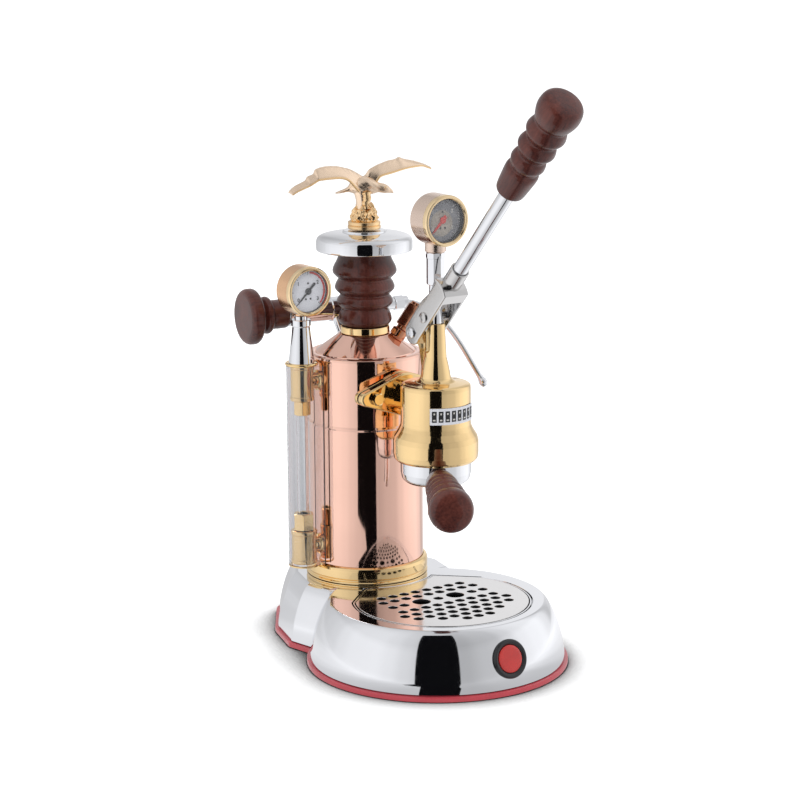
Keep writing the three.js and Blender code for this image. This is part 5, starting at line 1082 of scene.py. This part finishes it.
def make_camera():
    data = bpy.data.cameras.new("camera")
    camera = add_object("camera", data)
    heading, pitch, roll = (AZIMUTH + YAW) * DEG, PITCH * DEG, ROLL * DEG
    ahead = Vector((-sin(heading) * cos(pitch), cos(heading) * cos(pitch), -sin(pitch)))
    right = Vector((cos(heading), sin(heading), 0))
    up = right.cross(ahead)
    right, up = right * cos(roll) + up * sin(roll), up * cos(roll) - right * sin(roll)
    turn = Matrix((right, up, -ahead)).transposed().to_4x4()
    camera.matrix_world = at(around(AZIMUTH, DISTANCE, HEIGHT)) @ turn
    data.sensor_width = SENSOR
    data.lens = FOCAL / PHOTO_WIDTH * SENSOR
    data.clip_start = 0.1
    data.clip_end = 50
    scene.camera = camera


def stage_mesh(name, points, faces):
    """A stage object in metres with a node material of its own."""
    mesh = bpy.data.meshes.new(name)
    mesh.from_pydata(points, [], faces)
    look = bpy.data.materials.new(name + "_paper")
    look.use_nodes = True
    mesh.materials.append(look)
    obj = add_object(name, mesh)
    return obj, look.node_tree


def sheet(name, points, faces, colour):
    """A stage card with an even glow, seen in gloss and through glass only."""
    obj, tree = stage_mesh(name, points, faces)
    tree.nodes.clear()
    glow = add_node(tree, "Emission", {"Color": (*colour, 1), "Strength": 1})[0]
    add_node(tree, "OutputMaterial", {"Surface": glow})
    for ray in ("camera", "diffuse", "shadow", "volume_scatter"):
        setattr(obj, "visible_" + ray, False)
    return obj, tree


def around(azimuth, reach, height):
    """A point round the boiler's axis; azimuth 0 is the front and negative is towards the camera."""
    return (sin(azimuth * DEG) * reach, -cos(azimuth * DEG) * reach, height)


# The surround's tone by azimuth
SURROUND = [(-201, 0.55), (-187, 0.6), (-173, 0.66), (-159, 0.72), (-145, 0.78), (-131, 0.9), (-117, 0.97),
    (-89, 1), (-75, 0.93), (-61, 0.8), (-50, 0.72), (-30, 0.6), (-9, 0.5), (9, 0.6), (23, 0.64), (37, 0.83),
    (51, 1), (65, 1.08), (79, 1.12), (93, 0.95), (107, 0.62), (121, 0.75), (135, 0.95), (147, 0.85),
    (159, 0.55)]


def make_surround():
    """A paper floor, wall and ceiling for gloss and glass, lighter and darker as in a light tent."""
    count = 120
    # Rows of (reach, height, gain, lift)
    levels = [(0.05, SHEET_LEVEL, 0.8, 0.05), (0.2, SHEET_LEVEL, 0.9, 0.05), (0.4, SHEET_LEVEL, 1.03, 0.03),
        (1, SHEET_LEVEL, 1.07, 0.03), (1.7, SHEET_LEVEL, 1.05, 0), (1.7, 0.1, 1, 0), (1.7, 0.7, 1, 0),
        (1.7, 1, 0.9, 0), (1.6, 1.7, 0.75, 0.14), (1.3, 2.2, 0.5, 0.32), (0.6, 2.6, 0.2, 0.5),
        (0.01, 2.6, 0, 0.5)]
    points, tones = [], []
    for reach, height, gain, lift in levels:
        for k in range(count):
            azimuth = -201 + 360 * k / count
            for (a, low), (b, high) in zip(SURROUND, SURROUND[1:]):
                if a <= azimuth <= b:
                    t = (azimuth - a) / (b - a)
                    tone = low + (high - low) * t * t * (3 - 2 * t)
            points.append(around(azimuth, reach, height))
            tones.append(min(tone * gain + lift, 1.2))
    wall, tree = sheet("surround", points, strips(len(levels), count), (1, 1, 1))
    shade_of = wall.data.color_attributes.new("tone", "FLOAT_COLOR", "POINT")
    for k, tone in enumerate(tones):
        shade_of.data[k].color = (tone, tone, tone * 1.02, 1)
    fill(tree, tree.nodes["Emission"], {"Color": add_node(tree, "Attribute", attribute_name="tone")["Color"]})


def rays(tree):
    """The light path's outputs, and a value that is 1 for camera and transmission rays."""
    path = add_node(tree, "LightPath")
    seen = add_node(tree, "Math", {0: path["Is Camera Ray"], 1: path["Is Transmission Ray"]},
        operation="MAXIMUM")[0]
    return path, seen


def make_floor():
    """White paper; the camera sees it even, with a contact shadow from ambient occlusion."""
    corners = [(x * FLOOR_SIZE, y * FLOOR_SIZE, 0) for x, y in ((-1, -1), (1, -1), (1, 1), (-1, 1))]
    floor, tree = stage_mesh("floor", corners, [[0, 1, 2, 3]])
    floor.location.z = FLOOR_LEVEL
    paper = tree.nodes["Principled BSDF"]
    fill(tree, paper, {"Base Color": (0.82, 0.82, 0.82, 1), "Roughness": 0.9, "Specular IOR Level": 0.1})
    nearby = add_node(tree, "AmbientOcclusion", {"Distance": 0.06}, samples=8)["AO"]
    tones = [(0.5, 0.01), (0.58, 0.03), (0.64, 0.09), (0.7, 0.19), (0.77, 0.32), (0.84, 0.43), (0.93, 0.55)]
    fade = add_ramp(tree, nearby, [(position, (tone, tone, tone)) for position, tone in tones])
    plain = add_node(tree, "BsdfDiffuse", {"Color": fade})[0]
    glow = add_node(tree, "Emission", {"Color": fade, "Strength": 1.6})[0]
    both = add_node(tree, "AddShader", {0: plain, 1: glow})[0]
    _, seen = rays(tree)
    mix = add_node(tree, "MixShader", {0: seen, 1: paper.outputs[0], 2: both})[0]
    fill(tree, tree.nodes["Material Output"], {"Surface": mix})


def make_world():
    """A dim room light; white for the camera and through glass, and bright in gloss."""
    world = bpy.data.worlds.new("studio")
    scene.world = world
    world.use_nodes = True
    tree = world.node_tree
    tree.nodes.clear()
    path, seen = rays(tree)
    share = add_node(tree, "Math", {0: path["Is Glossy Ray"], 1: GLOSS_SHARE, 2: seen},
        operation="MULTIPLY_ADD")[0]
    room = add_node(tree, "Background", {"Color": (0.95, 0.97, 1, 1), "Strength": 0.62})[0]
    white = add_node(tree, "Background", {"Color": (1, 1, 1, 1), "Strength": 1})[0]
    mix = add_node(tree, "MixShader", {0: share, 1: room, 2: white})[0]
    add_node(tree, "OutputWorld", {"Surface": mix})


def make_lamps():
    aim = Vector((0, -0.05, 0.2))
    for name, place, size, power in (("key", (-1.3, -1.2, 1.7), 1.2, 18), ("side", (1.5, -0.9, 1.3), 1, 12),
            ("back", (0.2, 1.5, 1.2), 1.2, 14)):
        data = bpy.data.lights.new(name, "AREA")
        data.energy = power
        data.size = size
        turn = (Vector(place) - aim).to_track_quat("Z", "Y").to_matrix().to_4x4()
        add_object(name, data, Matrix.Translation(place) @ turn).visible_glossy = False


def make_cards():
    """Black paper on the floor and upright before the camera, seen only as dark bands in the gloss."""
    black = (0.004, 0.004, 0.005)
    drum = Vector(DRUM) * MM
    # Azimuth, reach, and 1 where they go from the drum's centre
    outline = [(-44, 0.113, 1), (-47, 0.3, 1), (-50, 0.43, 0), (-49, 1.32, 0), (-14, 1.32, 0), (-14, 0.36, 0),
        (-19, 0.2, 1), (-24, 0.113, 1)]
    points = [Vector(around(azimuth, reach, CARD_LEVEL)) + drum * from_drum for azimuth, reach,
        from_drum in outline]
    sheet("dark_floor", points, [list(range(8))], black)
    corners = [around(azimuth, 1.2, height) for azimuth, height in ((-50, 0), (-14, 0), (-14, 1.7),
        (-50, 1.7))]
    sheet("dark_card", corners, [[0, 1, 2, 3]], black)


def make_stage():
    scene.cycles.caustics_reflective = False
    make_floor()
    make_world()
    make_lamps()
    make_surround()
    make_cards()
    scene.view_settings.view_transform = "Standard"


make_base()
make_boiler()
make_cap()
make_sight()
make_gauges()
make_steam()
make_group()
make_strip()
make_lever()
make_portafilter()
make_bird()
keep(STEEL, "boiler_ring_nut", "heating_element", "shower_screen", "piston", "piston_pin", "filter_basket",
    "steam_spindle")
keep(BLACK, "pressurestat")
keep(RUBBER, "cap_gasket", "portafilter_gasket", "piston_seal_lower", "piston_seal_upper")
keep(GOLD, "cap_plug")
make_camera()
make_stage()
